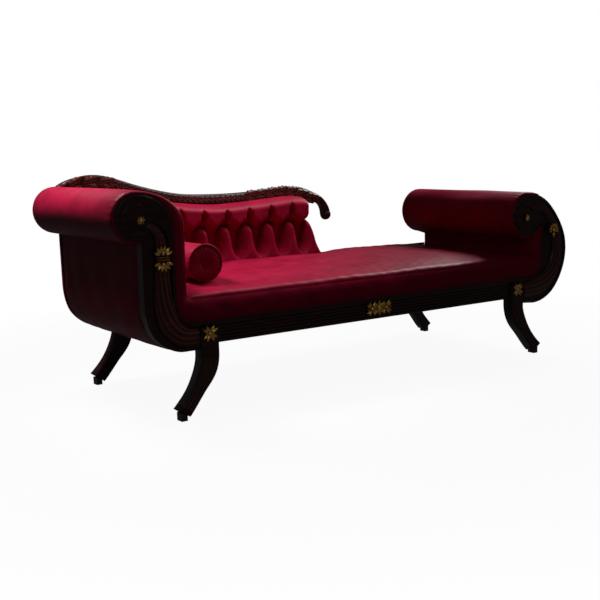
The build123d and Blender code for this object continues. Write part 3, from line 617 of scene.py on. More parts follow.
DUST_CLOTH = Woven("black_bottoming_cloth", "black_cloth", yarn="#17161a", gap="#0b0b0d",
                   pitch=1.8 * MM)


# ---- making pieces ----
def link(name: str, data: bpy.types.ID) -> bpy.types.Object:
    """A new object in the scene that holds the data."""
    made = bpy.data.objects.new(name, data)
    bpy.context.scene.collection.objects.link(made)
    return made


def make_piece(name: str, shells: Shell | Sequence[Shell], finish: Finish,
               replaces: Sequence[str] = (), body: str = BED, crease: float = SOFT_CREASE) -> None:
    """Turns shells into a finished piece that rides on a body, its place in its mesh.

    Args:
        name: the piece's name.
        shells: one shell or several, in bench coordinates.
        finish: its finish.
        replaces: the CAD nodes that it stands for.
        body: the CAD body that it rides on.
        crease: edges that turn by more than this many degrees stay crisp.
    """
    whole = shells if isinstance(shells, Shell) else joined(shells)
    mesh = bpy.data.meshes.new(name)
    mesh.from_pydata((whole.points + SHIFT).tolist(), [], whole.faces)
    relief = mesh.attributes.new("relief", "FLOAT", "POINT")
    relief.data.foreach_set("value", whole.carving().astype(np.float32))
    work = bmesh.new()
    work.from_mesh(mesh)
    bmesh.ops.remove_doubles(work, verts=work.verts, dist=0.02 * MM)
    bmesh.ops.dissolve_degenerate(work, edges=work.edges, dist=SAME_PLACE)
    bmesh.ops.recalc_face_normals(work, faces=work.faces)
    work.to_mesh(mesh)
    work.free()
    mesh.shade_smooth()
    mesh.set_sharp_from_angle(angle=math.radians(crease))
    piece = link(name, mesh)
    finish.dress(piece)
    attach(piece, body)
    if replaces:
        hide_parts(*replaces)
    LOG.info("%s: %d points", name, len(mesh.vertices))


def upholster(name: str, shell: Shell, node: str, body: str = BED,
              crease: float = SOFT_CREASE) -> None:
    """A stuffed piece in crimson leather that stands for one CAD node, as make_piece makes it."""
    make_piece(name, shell, CRIMSON_LEATHER, [node], body, crease)


# ---- the bed's own sizes ----
HALF_DEPTH = 0.375              # from the middle to either wooden face
FACING = 0.040                  # thickness of a scroll board
BAND = 0.040                    # width of the upholstered border
HEAD_WALL = -0.865              # inner faces of the two ends
FOOT_WALL = 0.905
INNER_CORNER = 0.075            # radius in the wood where the rail turns up into an end
SEAT_FRONT_Z = 0.445
RAIL_TOP = 0.350
REAR_LAP = 0.032                # thickness of the covered rear facings
REAR_END = 0.816                # how far from the middle they meet the rear rail
ARM_FOOT_Z = 0.430              # where the arms' stuffing begins, below the seat's leather
PIPING = 3.2 * MM
HIDE = 6 * MM                   # leather with the wadding under it
FRONT_SIDE = np.diag([1.0, -1.0, 1.0])
Line = tuple[tuple[float, float], ...]


@dataclass
class HeadEnd:
    """The high scroll that rolls outwards: leather over the roll, and carved wood in front."""

    eye: tuple[float, float] = (-1.044, 0.730)
    roll: float = 0.086
    shoulder_z: float = 0.690
    shoulder_rise: float = 0.126
    sweep: Line = ((-1.030, 0.440), (-1.023, 0.372), (-1.006, 0.324), (-0.972, 0.284),
                   (-0.930, 0.258), (-0.880, 0.247))
    under_angle: float = 279.4
    puff: float = 0.0055
    rear_rim: float = 0.018
    side_swell: float = 0.0045

    def outside(self, gap: float = 0.0, count: int = 150) -> np.ndarray:
        """The stuffing's section.

        Args:
            gap: how far inside it the line runs.
            count: how many points to return.

        Returns:
            From the roll's underside round the roll, over the shoulder and down to the seat.
        """
        eye_x = self.eye[0]
        run = HEAD_WALL - gap - eye_x
        return evenly(chain(
            [(eye_x + run, ARM_FOOT_Z), (eye_x + run, self.shoulder_z)],
            arc((eye_x, self.shoulder_z), (run, self.shoulder_rise - gap), 0, 90, 40),
            arc(self.eye, self.roll - gap, 90, self.under_angle, 50)), count)[::-1]

    def sweep_line(self, count: int) -> np.ndarray:
        """The outer side's curve down to the underside."""
        return spline(self.sweep, count, ((0, -1), (1, 0)))

    def cover(self) -> None:
        """Leather over the roll and the inner side, rounded and gathered at its front edge."""
        shell = roll_cover(self.outside(), self.puff, 3)
        upholster("head_arm_leather", shell, "head_arm_pad")

    def rear_cover(self) -> None:
        """Leather over the rear facing, which rounds over from the roll without a seam."""
        outline = chain(self.outside(-self.puff, 120)[::-1], [(-1.034, 0.6365)],
                        self.sweep_line(60) - (0.002, 0.0),
                        [(-REAR_END, self.sweep[-1][1]), (-REAR_END, RAIL_TOP)],
                        [(HEAD_WALL, RAIL_TOP), (HEAD_WALL + self.puff, ARM_FOOT_Z - 0.002)])
        upholster("head_rear_leather", rear_board(outline, self.rear_rim), "head_rear_facing")

    def outer_side(self) -> None:
        """Leather over the outer side, from under the roll to the sweep below."""
        under = arc(self.eye, self.roll, self.under_angle, self.under_angle, 1)
        line = chain(under + (-0.001, 0.004), self.sweep[:1], self.sweep_line(60))
        upholster("head_outer_leather", stretched_side(evenly(line, 90)[::-1], self.side_swell),
                  "head_outer_panel")

    def carve_facing(self) -> None:
        """Beads that follow the facing's edges, and a volute round its eye."""
        inset, edge_x = 0.009, HEAD_WALL - BAND - 0.009
        edge = chain(arc(self.eye, 0.073, 285, 90, 60),
                     arc((self.eye[0], self.shoulder_z), (0.130, 0.113), 90, 0, 40),
                     [(edge_x, 0.425)], arc((-0.830, 0.425), INNER_CORNER + inset, 180, 270, 24))
        sweep = self.sweep_line(90)
        sweep = chain([(-1.021, 0.622)], sweep + inset * left_normals(sweep), [(-0.822, 0.256)])
        volute = spiral(self.eye, (0.060, 0.040), 300, 40)
        shells = [bead(line, 0.0015 - HALF_DEPTH) for line in (edge, sweep, volute)]
        make_piece("head_facing_beads", shells, CARVED_MAHOGANY, crease=CARVED_CREASE)


def roll_cover(section: np.ndarray, puff: float, seed: int) -> Shell:
    """Leather skin over a roll, a closed sheet 6 mm thick that stands proud of its section.

    The swell is p (quarter circle over the first 22 mm) - 3 mm exp(-b / 4 mm) at b behind the front
    edge, with small gathers there and slow slack further back that dies out at the rear seam.

    Args:
        section: the (x, z) line of the stuffing, its outside on its left.
        puff: how far the leather stands out.
        seed: picks the slack.

    Returns:
        The closed shell.
    """
    shoulder, rise, tuck, tuck_reach = 0.022, 0.012, 0.003, 0.004
    gather, gather_count, gather_reach = 0.0009, 35, 0.030
    slack_height, slack_length, seam = 0.0012, 0.16, 0.08
    y = stations_between(-HALF_DEPTH + 0.001, HALF_DEPTH - REAR_LAP + 0.001, 120)
    behind = (y - y[0])[:, None]
    ahead = (y[-1] - y)[:, None]
    run = np.linspace(0, 1, len(section))[None, :]
    swell = puff * rounded(behind, shoulder) - tuck * np.exp(-behind / tuck_reach)
    waves = np.sin(run * 2 * np.pi * gather_count + 2 * np.sin(run * 21))
    gathers = gather * waves * np.exp(-behind / gather_reach)
    slack = slack_height * unrest(behind * 0.35, run * 0.9, slack_length, seed)
    swell = swell + (gathers + slack * smooth(ahead, 0.0, seam)) * smooth(behind, 0.0, rise)
    return Shell.slab(across(section, y, swell), across(section, y, np.full_like(swell, -HIDE)))


def pillow(outline: np.ndarray, y_start: float, depth: float, rim: float) -> Shell:
    """A board of an (x, z) outline with a leather face, its rear rim rounded over.

    Rings follow the outline, moved inwards by rim (1 - cos q) while y grows by rim sin q.

    Args:
        outline: the loop, its outside on its left or right alike.
        y_start: the y of its front face.
        depth: its thickness, rim included.
        rim: the radius of the rounded rim.

    Returns:
        The closed shell.
    """
    loop = evenly(np.concatenate([outline, outline[:1]]), 260)[:-1]
    area = np.sum(loop[:, 0] * np.roll(loop[:, 1], -1) - np.roll(loop[:, 0], -1) * loop[:, 1])
    inwards = left_normals(loop, True) * (1 if area > 0 else -1)
    turn = np.linspace(0, np.pi / 2, 7)
    shift = np.concatenate([[0.0], rim * (1 - np.cos(turn))])
    y = np.concatenate([[y_start], y_start + depth - rim + rim * np.sin(turn)])
    return Shell.tube(stand(loop + inwards * shift[:, None, None], y[:, None]))


def rear_board(outline: np.ndarray, rim: float) -> Shell:
    """A covered rear facing: a pillow that ends a little short of the wooden faces' depth."""
    return pillow(outline, HALF_DEPTH - REAR_LAP, REAR_LAP, rim)


def stretched_side(line: np.ndarray, swell: float) -> Shell:
    """Leather stretched along a line between the two facings, a closed sheet 6 mm thick.

    It stands out by swell sin(pi s)^0.5 (1 - |2 t - 1|^6), with s along the line and t across.

    Args:
        line: the (x, z) line of its outside, the outside on its left.
        swell: how far it is stuffed out at the middle.

    Returns:
        The closed shell.
    """
    inner = HALF_DEPTH - FACING
    y = stations_between(-inner, inner, 60)
    s = np.linspace(0, 1, len(line))[None, :]
    t = np.linspace(-1, 1, len(y))[:, None]
    lift = swell * np.sqrt(np.sin(np.pi * np.clip(s, 0.001, 0.999))) * (1 - np.abs(t) ** 6)
    lift = lift + 0.0008 * unrest(t * 0.3, s * 0.5, 0.14, 8) * (1 - np.abs(t) ** 4)
    return Shell.slab(across(line, y, lift), across(line, y, lift - HIDE))


@dataclass
class FootEnd:
    """The low scroll that rolls inwards over the seat."""

    eye: tuple[float, float] = (0.857, 0.624)
    roll: float = 0.100
    cap_x: float = 0.928
    sweep: Line = ((0.857, 0.724), (0.960, 0.701), (1.056, 0.612), (1.101, 0.528), (1.110, 0.462),
                   (1.097, 0.392), (1.060, 0.320), (1.000, 0.262), (0.900, 0.235))
    puff: float = 0.0050
    rear_rim: float = 0.024
    side_swell: float = 0.004

    def round_roll(self, wall_x: float, gap: float, puff: float, count: int) -> np.ndarray:
        """The roll's outline, from the wall below it round its underside to its crown.

        Args:
            wall_x: where the upright wall below stands.
            gap: how far inside the stuffing the circle that meets the wall lies.
            puff: how far outside that circle the points lie.
            count: how many points to return.

        Returns:
            Points on a circle about the eye.
        """
        radius = self.roll - gap
        start = -math.degrees(math.acos((wall_x - self.eye[0]) / radius))
        return arc(self.eye, radius + puff, start, -270, count)

    def sweep_line(self) -> np.ndarray:
        """The sweep's curve from the crown down to the underside."""
        return spline(self.sweep, 300, ((1, 0), (-1, 0)))

    def cover(self) -> None:
        """Leather from the seat up the inner side, round the roll and over to the cap's edge."""
        crown = self.sweep_line()
        cap = crown[(crown[:, 0] <= self.cap_x) & (crown[:, 1] > self.eye[1])]
        roll = self.round_roll(FOOT_WALL, 0.0, 0.0, 70)
        section = evenly(chain([(FOOT_WALL, ARM_FOOT_Z)], roll, cap), 150)
        upholster("foot_arm_leather", roll_cover(section, self.puff, 5), "foot_arm_pad")

    def rear_cover(self) -> None:
        """Leather over the rear facing, which rounds over from the roll without a seam."""
        wall = FOOT_WALL - self.puff
        join = self.round_roll(FOOT_WALL, 0.0, 0.0, 2)[0, 1]
        outline = chain([(REAR_END, RAIL_TOP), (wall, RAIL_TOP), (wall, join)],
                        self.round_roll(FOOT_WALL, 0.0, self.puff, 60),
                        self.sweep_line() + (0.002, 0.002), [(REAR_END, self.sweep[-1][1])])
        upholster("foot_rear_leather", rear_board(outline, self.rear_rim), "foot_rear_facing")

    def outer_side(self) -> None:
        """Leather over the outer side, from the crown to the underside."""
        curve = self.sweep_line()
        keep = (curve[:, 0] > self.cap_x + CLEAR) | (curve[:, 1] < self.eye[1])
        upholster("foot_outer_leather", stretched_side(evenly(curve[keep], 130), self.side_swell),
                  "foot_outer_panel")

    def carve_facing(self) -> None:
        """The front facing: a board of the C-shaped sweep with its roll, beaded along its edges."""
        edge_x, corner = FOOT_WALL + BAND, (0.870, 0.425)
        crown = self.sweep_line()
        crown = crown + 0.003 * left_normals(crown) - (0.0, 0.004)
        outline = chain([(0.820, RAIL_TOP), (0.870, RAIL_TOP)],
                        arc(corner, INNER_CORNER, -90, 0, 24),
                        self.round_roll(edge_x, 0.004, 0.0, 70), crown,
                        [(0.820, self.sweep[-1][1])])
        board = pillow(outline, HALF_DEPTH - FACING + CLEAR, FACING - 0.007, 0.003)
        make_piece("foot_facing_board", board.moved(FRONT_SIDE, (0, 0, 0)), MAHOGANY,
                   ["foot_front_facing"])
        inset = crown - 0.009 * left_normals(crown)
        outer = chain(arc(self.eye, 0.086, -50, -270, 80), inset[inset[:, 0] > self.eye[0]],
                      [(0.824, 0.246)])
        inner = chain([(0.954, 0.585), (0.954, 0.425)],
                      arc(corner, INNER_CORNER + 0.009, 0, -90, 24), [(0.824, 0.341)])
        volute = spiral(self.eye, (0.070, 0.044), -120, -330)
        shells = [bead(line, 0.0065 - HALF_DEPTH, 0.0060) for line in (outer, inner, volute)]
        make_piece("foot_facing_beads", shells, CARVED_MAHOGANY, crease=CARVED_CREASE)


@dataclass
class Seat:
    """Tight seat, crowned both ways, hollowed where the half back ends, with a front border."""

    crown: float = 0.482
    end_z: float = 0.450
    rear_z: float = 0.468
    crown_y: float = 0.040
    front_y: float = -0.367
    back_pad_y: float = 0.250
    back_edge_x: float = 0.196
    front_round: float = 0.017
    front_reach: float = 0.024
    end_tuck: tuple[float, float] = (0.016, 0.010)      # depth and reach
    rear_tuck: tuple[float, float] = (0.014, 0.009)
    hollow: tuple[float, float, float] = (0.011, 0.20, 0.10)     # depth, place and half its width
    blend: float = 0.004
    swell: float = 2.6
    proud: float = 0.0075

    def height(self, x: np.ndarray, y: np.ndarray) -> np.ndarray:
        """Soft minimum of two crowns, -k ln(exp(-a / k) + exp(-b / k)).

        Args:
            x: places along the bed.
            y: places across it.

        Returns:
            The height of the leather before its edges are rounded.
        """
        middle = (HEAD_WALL + FOOT_WALL) / 2
        half = (FOOT_WALL - HEAD_WALL) / 2
        along = self.crown - (self.crown - self.end_z) * ((x - middle) / half) ** 2
        rows = np.array([[self.front_y**2, self.front_y, 1.0],
                         [self.crown_y**2, self.crown_y, 1.0],
                         [self.front_y**2, -self.front_y, 1.0]])
        a, b, c = np.linalg.solve(rows, [SEAT_FRONT_Z, self.crown, self.rear_z])
        wide = a * y**2 + b * y + c
        low = np.minimum(along, wide)
        return low - self.blend * np.log(np.exp(-(along - low) / self.blend)
                                         + np.exp(-(wide - low) / self.blend))

    def cushion(self) -> None:
        """The seat's own cushion, let in round the half back, with its edges drawn down."""
        notch = self.back_edge_x
        x = np.unique(np.concatenate([stations_between(HEAD_WALL, FOOT_WALL, 210),
                                      np.linspace(notch - 0.03, notch + 0.03, 24)]))
        rear = self.back_pad_y + (-self.front_y - self.back_pad_y) * smooth(
            x, notch - 0.012, notch + 0.022)
        share = (stations_between(0.0, 1.0, 96))[:, None]
        y = self.front_y + share * (rear[None, :] - self.front_y)
        xx = np.broadcast_to(x[None, :], y.shape)
        z = self.height(xx, y)
        ends = np.minimum(xx - HEAD_WALL, FOOT_WALL - xx)
        for away, (depth, reach) in ((ends, self.end_tuck), (rear[None, :] - y, self.rear_tuck)):
            z = z - depth * np.exp(-away / reach)
        depth, place, reach = self.hollow
        z = z - depth * np.exp(-((xx - place) / reach) ** 2) * smooth(y, 0.10, 0.36)
        z = z - self.front_round * (1 - rounded(y - self.front_y, self.front_reach))
        z = z + 0.0014 * unrest(xx, y, 0.30, 11) + 0.0005 * unrest(xx, y * 1.6, 0.07, 12)
        top = np.stack([xx, y, z], -1)
        low = top.copy()
        low[..., 2] = RAIL_TOP + 0.002
        upholster("seat_leather", Shell.slab(top, low), "seat_pad")

    def edge(self, inset: float, corner: float, floor: float, shoulder: tuple[float, float],
             end_z: float) -> np.ndarray:
        """One long edge of the border, cut at its corners into parts of even steps.

        Args:
            inset: how far behind the two walls it stands.
            corner: the radius of its two corners.
            floor: the height of its level part.
            shoulder: the radii of its curve over the head end's shoulder.
            end_z: how high it rises at the foot end.

        Returns:
            Its points, from the head scroll along the seat's front to the foot scroll.
        """
        left, right, low = HEAD_WALL - inset, FOOT_WALL + inset, floor + corner
        middle = (HeadEnd.eye[0], HeadEnd.shoulder_z)
        line = chain(arc(middle, shoulder, 88, 0, 60), [(left, middle[1]), (left, low)],
                     arc((left + corner, low), corner, 180, 270, 24),
                     [(left + corner, floor), (right - corner, floor)],
                     arc((right - corner, low), corner, -90, 0, 24), [(right, low), (right, end_z)])
        marks = [line[0], (left, middle[1]), (left, low), (left + corner, floor),
                 (right - corner, floor), (right, low), line[-1]]
        return between_marks(line, marks, (46, 40, 18, 240, 18, 26))

    def border(self) -> None:
        """Stuffed border: down the head end, along the seat's front and up the foot end.

        Its face lies between the wood's edge A(s) and the opening's edge B(s), and stands out by
        h (1 - |2 t - 1|^2.6) at the share t between them.
        """
        wood = self.edge(BAND, INNER_CORNER, RAIL_TOP, (0.139, 0.122), 0.575)
        opening = self.edge(0.0, 0.026, SEAT_FRONT_Z - self.front_round, (0.179, 0.126), 0.548)
        t = np.linspace(0, 1, 15)[:, None, None]
        flat = (1 - t) * wood + t * opening
        width = np.linalg.norm(opening - wood, axis=1)
        bulge = np.minimum(0.010, 0.28 * width) * (1 - np.abs(2 * t[..., 0] - 1) ** self.swell)
        run = np.cumsum(np.linalg.norm(np.diff(wood, axis=0, prepend=wood[:1]), axis=1))
        bulge = bulge * (1 + 0.10 * unrest(run[None, :], t[..., 0] * 0.1, 0.11, 21))
        base = -HALF_DEPTH + self.proud
        shell = Shell.slab(stand(flat, base - bulge), stand(flat, base + CLEAR))
        upholster("front_border_leather", shell, "front_band")
        make_piece("front_border_piping", cord_round(stand(wood, base - 0.0030), PIPING * 0.8),
                   PIPING_LEATHER)

    def rear_border(self) -> None:
        """Short border behind the open part of the seat, which stands out in the same way."""
        x = np.linspace(HalfBack.foot_x, FOOT_WALL, 90)
        t = np.linspace(0, 1, 12)[:, None]
        z = RAIL_TOP + t * (SEAT_FRONT_Z + 0.012 - RAIL_TOP) + 0 * x
        flat = np.stack([x + 0 * z, z], -1)
        base = HALF_DEPTH - self.proud
        bulge = 0.008 * (1 - np.abs(2 * t - 1) ** self.swell)
        shell = Shell.slab(stand(flat, base + bulge), stand(flat, base - CLEAR))
        upholster("rear_border_leather", shell, "rear_band")


def between_marks(curve: np.ndarray, marks: Sequence[Sequence[float]],
                  counts: Sequence[int]) -> np.ndarray:
    """Cuts a curve at its points nearest the marks, and spaces each part evenly.

    Args:
        curve: points in order.
        marks: where the parts begin and end.
        counts: the number of steps in each part.

    Returns:
        sum(counts) + 1 points.
    """
    dense = evenly(curve, 6000)
    cuts = [int(np.argmin(np.linalg.norm(dense - np.asarray(mark), axis=1))) for mark in marks]
    parts = [evenly(dense[a:b + 1], count + 1)[:-1] for a, b, count in zip(cuts, cuts[1:], counts)]
    return np.concatenate(parts + [dense[cuts[-1]][None]])


CREST_UNDERSIDE = ((-0.860, 0.796), (-0.750, 0.783), (-0.640, 0.754), (-0.538, 0.731),
                   (-0.450, 0.719), (-0.344, 0.712), (-0.234, 0.715), (-0.122, 0.721),
                   (-0.005, 0.729), (0.084, 0.727), (0.125, 0.716), (0.165, 0.702))


@dataclass
class HalfBack:
    """Deep-buttoned pad under the crest, square at the head and hollow at its free end."""

    bottom_z: float = 0.405
    rear_y: float = 0.322
    frame_y: float = 0.371
    pitch: float = 0.112
    upper_x: float = 0.017
    upper_z: float = 0.627
    lower_z: float = 0.500
    buttons_a_row: int = 8
    button_depth: float = 0.012
    full: float = 0.079
    shoulder: float = 0.036
    blend: float = 0.0030
    gape: float = 0.0040
    slit_fade: float = 0.034
    foot_fade: float = 0.026
    overlap: float = 0.003
    rims: tuple[float, ...] = (0.030, 0.040, 0.020, 0.020)      # free end, top, head and seat
    grid: tuple[int, int] = (370, 130)
    arch_shape: Line = ((0.0, 0.0), (0.24, 0.03), (0.42, 0.12), (0.56, 0.32), (0.67, 0.58),
                        (0.80, 0.82), (1.0, 1.0))
    edge: Line = ((0.122, 0.722), (0.126, 0.640), (0.142, 0.575), (0.190, 0.463), (0.240, 0.350))
    foot_x: float = 0.243
    crest_under: Line = ((-0.920, 0.790), *CREST_UNDERSIDE)

    def edge_x(self, z: np.ndarray) -> np.ndarray:
        """X of the free end at a height."""
        curve = spline(self.edge, 200)[::-1]
        return np.interp(z, curve[:, 1], curve[:, 0])

    def top_z(self, x: np.ndarray) -> np.ndarray:
        """Underside of the crest at a place along the bed."""
        curve = spline(self.crest_under, 400)
        return np.interp(x, curve[:, 0], curve[:, 1]) + 0.004

    def buttons(self) -> tuple[np.ndarray, np.ndarray]:
        """(x, z) of the upper and of the lower buttons."""
        x = self.upper_x - np.arange(self.buttons_a_row) * self.pitch
        return (np.stack([x, np.full_like(x, self.upper_z)], -1),
                np.stack([x + self.pitch / 2, np.full_like(x, self.lower_z)], -1))

    def fold_distance(self, aside: np.ndarray, z: np.ndarray, top: np.ndarray) -> np.ndarray:
        """Soft least distance to a fold, -k ln sum exp(-d_i / k) with k the blend.

        The tufting mirrors itself about every column of buttons, so half a cell holds it all: the
        fold that arches from the upper button out and down to the lower one, the slit above the
        upper button, which gapes and then closes, and the fold below the lower button.  A slit
        and a fold close where their distance grows by a fade.

        Args:
            aside: distance along the bed from the nearest upper button.
            z: heights.
            top: the pad's top at each place.

        Returns:
            The distances, at least 0.
        """
        k = self.blend
        drop = self.lower_z - self.upper_z
        arch = spline(self.arch_shape, 28) * (self.pitch / 2, drop) + (0.0, self.upper_z)
        above = np.clip((z - self.upper_z) / (top - self.upper_z), 0, 1)
        slit = np.hypot(aside, np.minimum(z - self.upper_z, 0))
        slit = (1.6 * slit - self.gape * (1 - smooth(above, 0.4, 0.7))
                + self.slit_fade * smooth(above, 0.45, 0.95))
        below = np.clip((self.lower_z - z) / (self.lower_z - self.bottom_z), 0, 1)
        foot = np.hypot(self.pitch / 2 - aside, np.maximum(z - self.lower_z, 0))
        foot = foot + self.foot_fade * smooth(below, 0.0, 0.5)
        total = np.exp(-slit / k) + np.exp(-foot / k)
        for start, end in zip(arch, arch[1:]):
            run = end - start
            share = ((aside - start[0]) * run[0] + (z - start[1]) * run[1]) / (run @ run)
            share = np.clip(share, 0, 1)
            away = np.hypot(aside - start[0] - share * run[0], z - start[1] - share * run[1])
            total = total + np.exp(-away / k)
        return np.maximum(-k * np.log(total), 0.0)

    def thickness(self, x: np.ndarray, z: np.ndarray) -> np.ndarray:
        """Round puffs between the folds: h = h0 + (H - h0) r(d) m.

        r is a quarter circle over the shoulder's width of the distance d to a fold, and m thins
        the upper puffs below the upper buttons, so that they overhang the tongues between the
        domes.  Round the outline the whole is turned down to nothing by a quarter circle.

        Args:
            x: places along the bed.
            z: heights.

        Returns:
            The pad's thickness in front of its webbing.
        """
        cell = (x - self.upper_x) / self.pitch
        aside = self.pitch * np.abs(cell - np.round(cell))
        top_z = self.top_z(x)
        shape = np.array(self.arch_shape)
        arch = self.upper_z + (self.lower_z - self.upper_z) * np.interp(
            2 * aside / self.pitch, shape[:, 0], shape[:, 1])
        hang = (0.08 + 0.27 * smooth(z, self.lower_z + 0.02, self.upper_z)
                + 0.65 * smooth(z, self.upper_z - 0.034, self.upper_z + 0.012))
        puff = rounded(self.fold_distance(aside, z, top_z), self.shoulder)
        puff = puff * np.where(z > arch, hang, 1.0)
        whole = self.button_depth + (self.full - self.button_depth) * puff
        for edge, reach in zip((self.edge_x(z) + self.overlap - x, top_z - z, x - HEAD_WALL,
                                z - self.bottom_z), self.rims):
            whole = whole * rounded(edge, reach)
        return whole

    def pad(self) -> None:
        """The buttoned pad, as a Coons patch over its outline that is raised by its thickness."""
        columns, rows = self.grid
        ends, tall = (stations_between(0.0, 1.0, count) for count in self.grid)
        u, v = ends[None, :, None], tall[:, None, None]
        foot_x = float(self.edge_x(np.array([self.bottom_z]))[0]) + self.overlap
        head_x = self.edge[0][0] + self.overlap
        below = HEAD_WALL + ends * (foot_x - HEAD_WALL)
        below = np.stack([below, np.full(columns, self.bottom_z)], -1)
        above = HEAD_WALL + ends * (head_x - HEAD_WALL)
        above = np.stack([above, self.top_z(above)], -1)
        left, right = (self.bottom_z + tall * (corner[1] - self.bottom_z)
                       for corner in (above[0], above[-1]))
        left = np.stack([np.full(rows, HEAD_WALL), left], -1)
        right = np.stack([self.edge_x(right) + self.overlap, right], -1)
        flat = (1 - u) * left[:, None] + u * right[:, None] + (1 - v) * below + v * above
        flat = flat - ((1 - u) * (1 - v) * below[0] + u * (1 - v) * below[-1]
                       + (1 - u) * v * above[0] + u * v * above[-1])
        x, z = flat[..., 0], flat[..., 1]
        thick = self.thickness(x, z)
        thick = thick + 0.0006 * unrest(x, z, 0.09, 32) * smooth(thick, 0.03, 0.06)
        front = stand(flat, self.rear_y - thick)
        front[..., 0] += 0.0005 * unrest(x, z, 0.03, 31)
        upholster("back_leather", Shell.slab(front, stand(flat, self.rear_y + 0.001)), "back_pad",
                  crease=70.0)

    def button_heads(self) -> None:
        """Covered buttons: flattened domes, 20 mm wide and 6 mm proud."""
        domes = [dome((x, self.rear_y - self.button_depth + 0.001, z), 0.010, 0.006)
                 for x, z in np.concatenate(self.buttons())]
        make_piece("back_button_heads", domes, PIPING_LEATHER, ["back_buttons"])

    def outer_cover(self) -> None:
        """Leather over the rear of the half back and over its free end, which is piped."""
        top_x = np.linspace(HEAD_WALL + 0.001, self.edge[0][0], 120)
        above = np.stack([top_x, self.top_z(top_x) - 0.006], -1)
        free = spline(self.edge, 60)
        outline = chain(above, free, [(HEAD_WALL + 0.001, RAIL_TOP)])
        upholster("back_outer_leather", pillow(outline, self.frame_y, 0.010, 0.006),
                  "back_outer_panel")
        cords = [cord_round(stand(free[2:], y + 0.004), PIPING)
                 for y in (self.rear_y, self.frame_y)]
        make_piece("back_edge_piping", cords, PIPING_LEATHER)
        y = np.linspace(self.rear_y, self.frame_y + 0.002, 8)
        line = evenly(free, 80)
        swell = 0.004 * np.sin(np.pi * np.linspace(0, 1, 8))[:, None] + 0 * line[:, 0]
        shell = Shell.slab(across(line, y, swell), across(line, y, np.full_like(swell, -0.005)))
        make_piece("back_edge_leather", shell, CRIMSON_LEATHER)


def dome(place: Sequence[float], radius: float, height: float, sides: int = 24) -> Shell:
    """Flattened dome that faces the front: rings r cos q at y = -h sin q, closed at the back.

    Args:
        place: the middle of its foot.
        radius: half its width.
        height: how far it stands out.
        sides: faces round it.

    Returns:
        The closed dome, with crest relief all over: wear and painted highlight on wood.
    """
    turn = np.linspace(0, np.pi / 2, 8)
    radii = np.concatenate([[radius * 0.9], radius * np.cos(turn)])
    depth = np.concatenate([[0.003], -height * np.sin(turn)])
    ring = arc((0, 0), 1.0, 0, 360, sides + 1)[:-1]
    points = stand(radii[:, None, None] * ring, depth[:, None]) + np.asarray(place)
    # Relief 0.9 all over: on carved wood this paints the light crest colour, partly wear and partly
    # painted highlight.
    return Shell.tube(points, np.full(points.shape[:2], 0.9))


@dataclass
class Bolster:
    """Loose round bolster with piped, gathered ends and a covered button in each."""

    radius: float = 0.072
    pleats: int = 22
    pleat_depth: float = 0.0022
    cord: float = 0.0042
    cord_inset: float = 0.006
    button: tuple[float, float] = (0.014, 0.008)
    button_inset: float = 0.010

    def build(self) -> None:
        """Body, piping and buttons, all placed by the CAD solid's box."""
        low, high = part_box("bolster")
        x = (low.x + high.x) / 2 - SHIFT[0]
        z = (low.z + high.z) / 2
        y0, y1 = low.y - SHIFT[1], high.y - SHIFT[1]
        half = (y1 - y0) / 2
        body_y = np.linspace(0, half - 0.005, 60)
        angle = np.linspace(0, 2 * np.pi, 12 * self.pleats, endpoint=False)
        swell = self.radius - 0.0035 - 0.006 * (body_y / half) ** 6
        tube_r = swell[:, None] + 0.0009 * unrest(body_y[:, None], 0.07 * angle[None, :], 0.09, 41)
        drawn = smooth(body_y, half * 0.8, half)[:, None] ** 2
        tube_r = tube_r - 0.0012 * np.cos(angle * self.pleats) * drawn
        inwards = np.linspace(1, 0.17, 26)[1:, None]
        pleat = np.abs(np.sin(angle * self.pleats / 2)) ** 0.7
        swirl = np.sin(np.pi * np.clip((inwards - 0.12) / 0.88, 0, 1)) ** 0.6
        bowl = 0.009 * np.sin(np.pi * (1 - inwards) ** 0.8) - 0.010 * (1 - inwards) ** 2
        lip_y = half - 0.008 + bowl + self.pleat_depth * pleat * swirl
        radii = np.concatenate([tube_r, tube_r[-1] * inwards])
        heights = np.concatenate([np.broadcast_to(body_y[:, None], tube_r.shape), lip_y])
        radii = np.concatenate([radii[::-1], radii[1:]])[..., None]
        heights = np.concatenate([-heights[::-1], heights[1:]]) + (y0 + y1) / 2
        ring = np.stack([np.cos(angle), np.sin(angle)], -1)
        upholster("bolster_leather", Shell.tube(stand(radii * ring + (x, z), heights)), "bolster",
                  LOOSE, 60.0)
        ring = arc((x, z), self.radius - 0.004, 0, 360, 97)[:-1]
        cords = [cord_round(stand(ring, y), self.cord, 10, True)
                 for y in (y0 + self.cord_inset, y1 - self.cord_inset)]
        make_piece("bolster_piping", cords, PIPING_LEATHER, body=LOOSE)
        front = dome((x, y0 + self.button_inset, z), *self.button)
        back = dome((x, 0.0, z), *self.button).moved(FRONT_SIDE, (0, y1 - self.button_inset, 0))
        make_piece("bolster_button_heads", [front, back], PIPING_LEATHER, ["bolster_buttons"],
                   LOOSE)


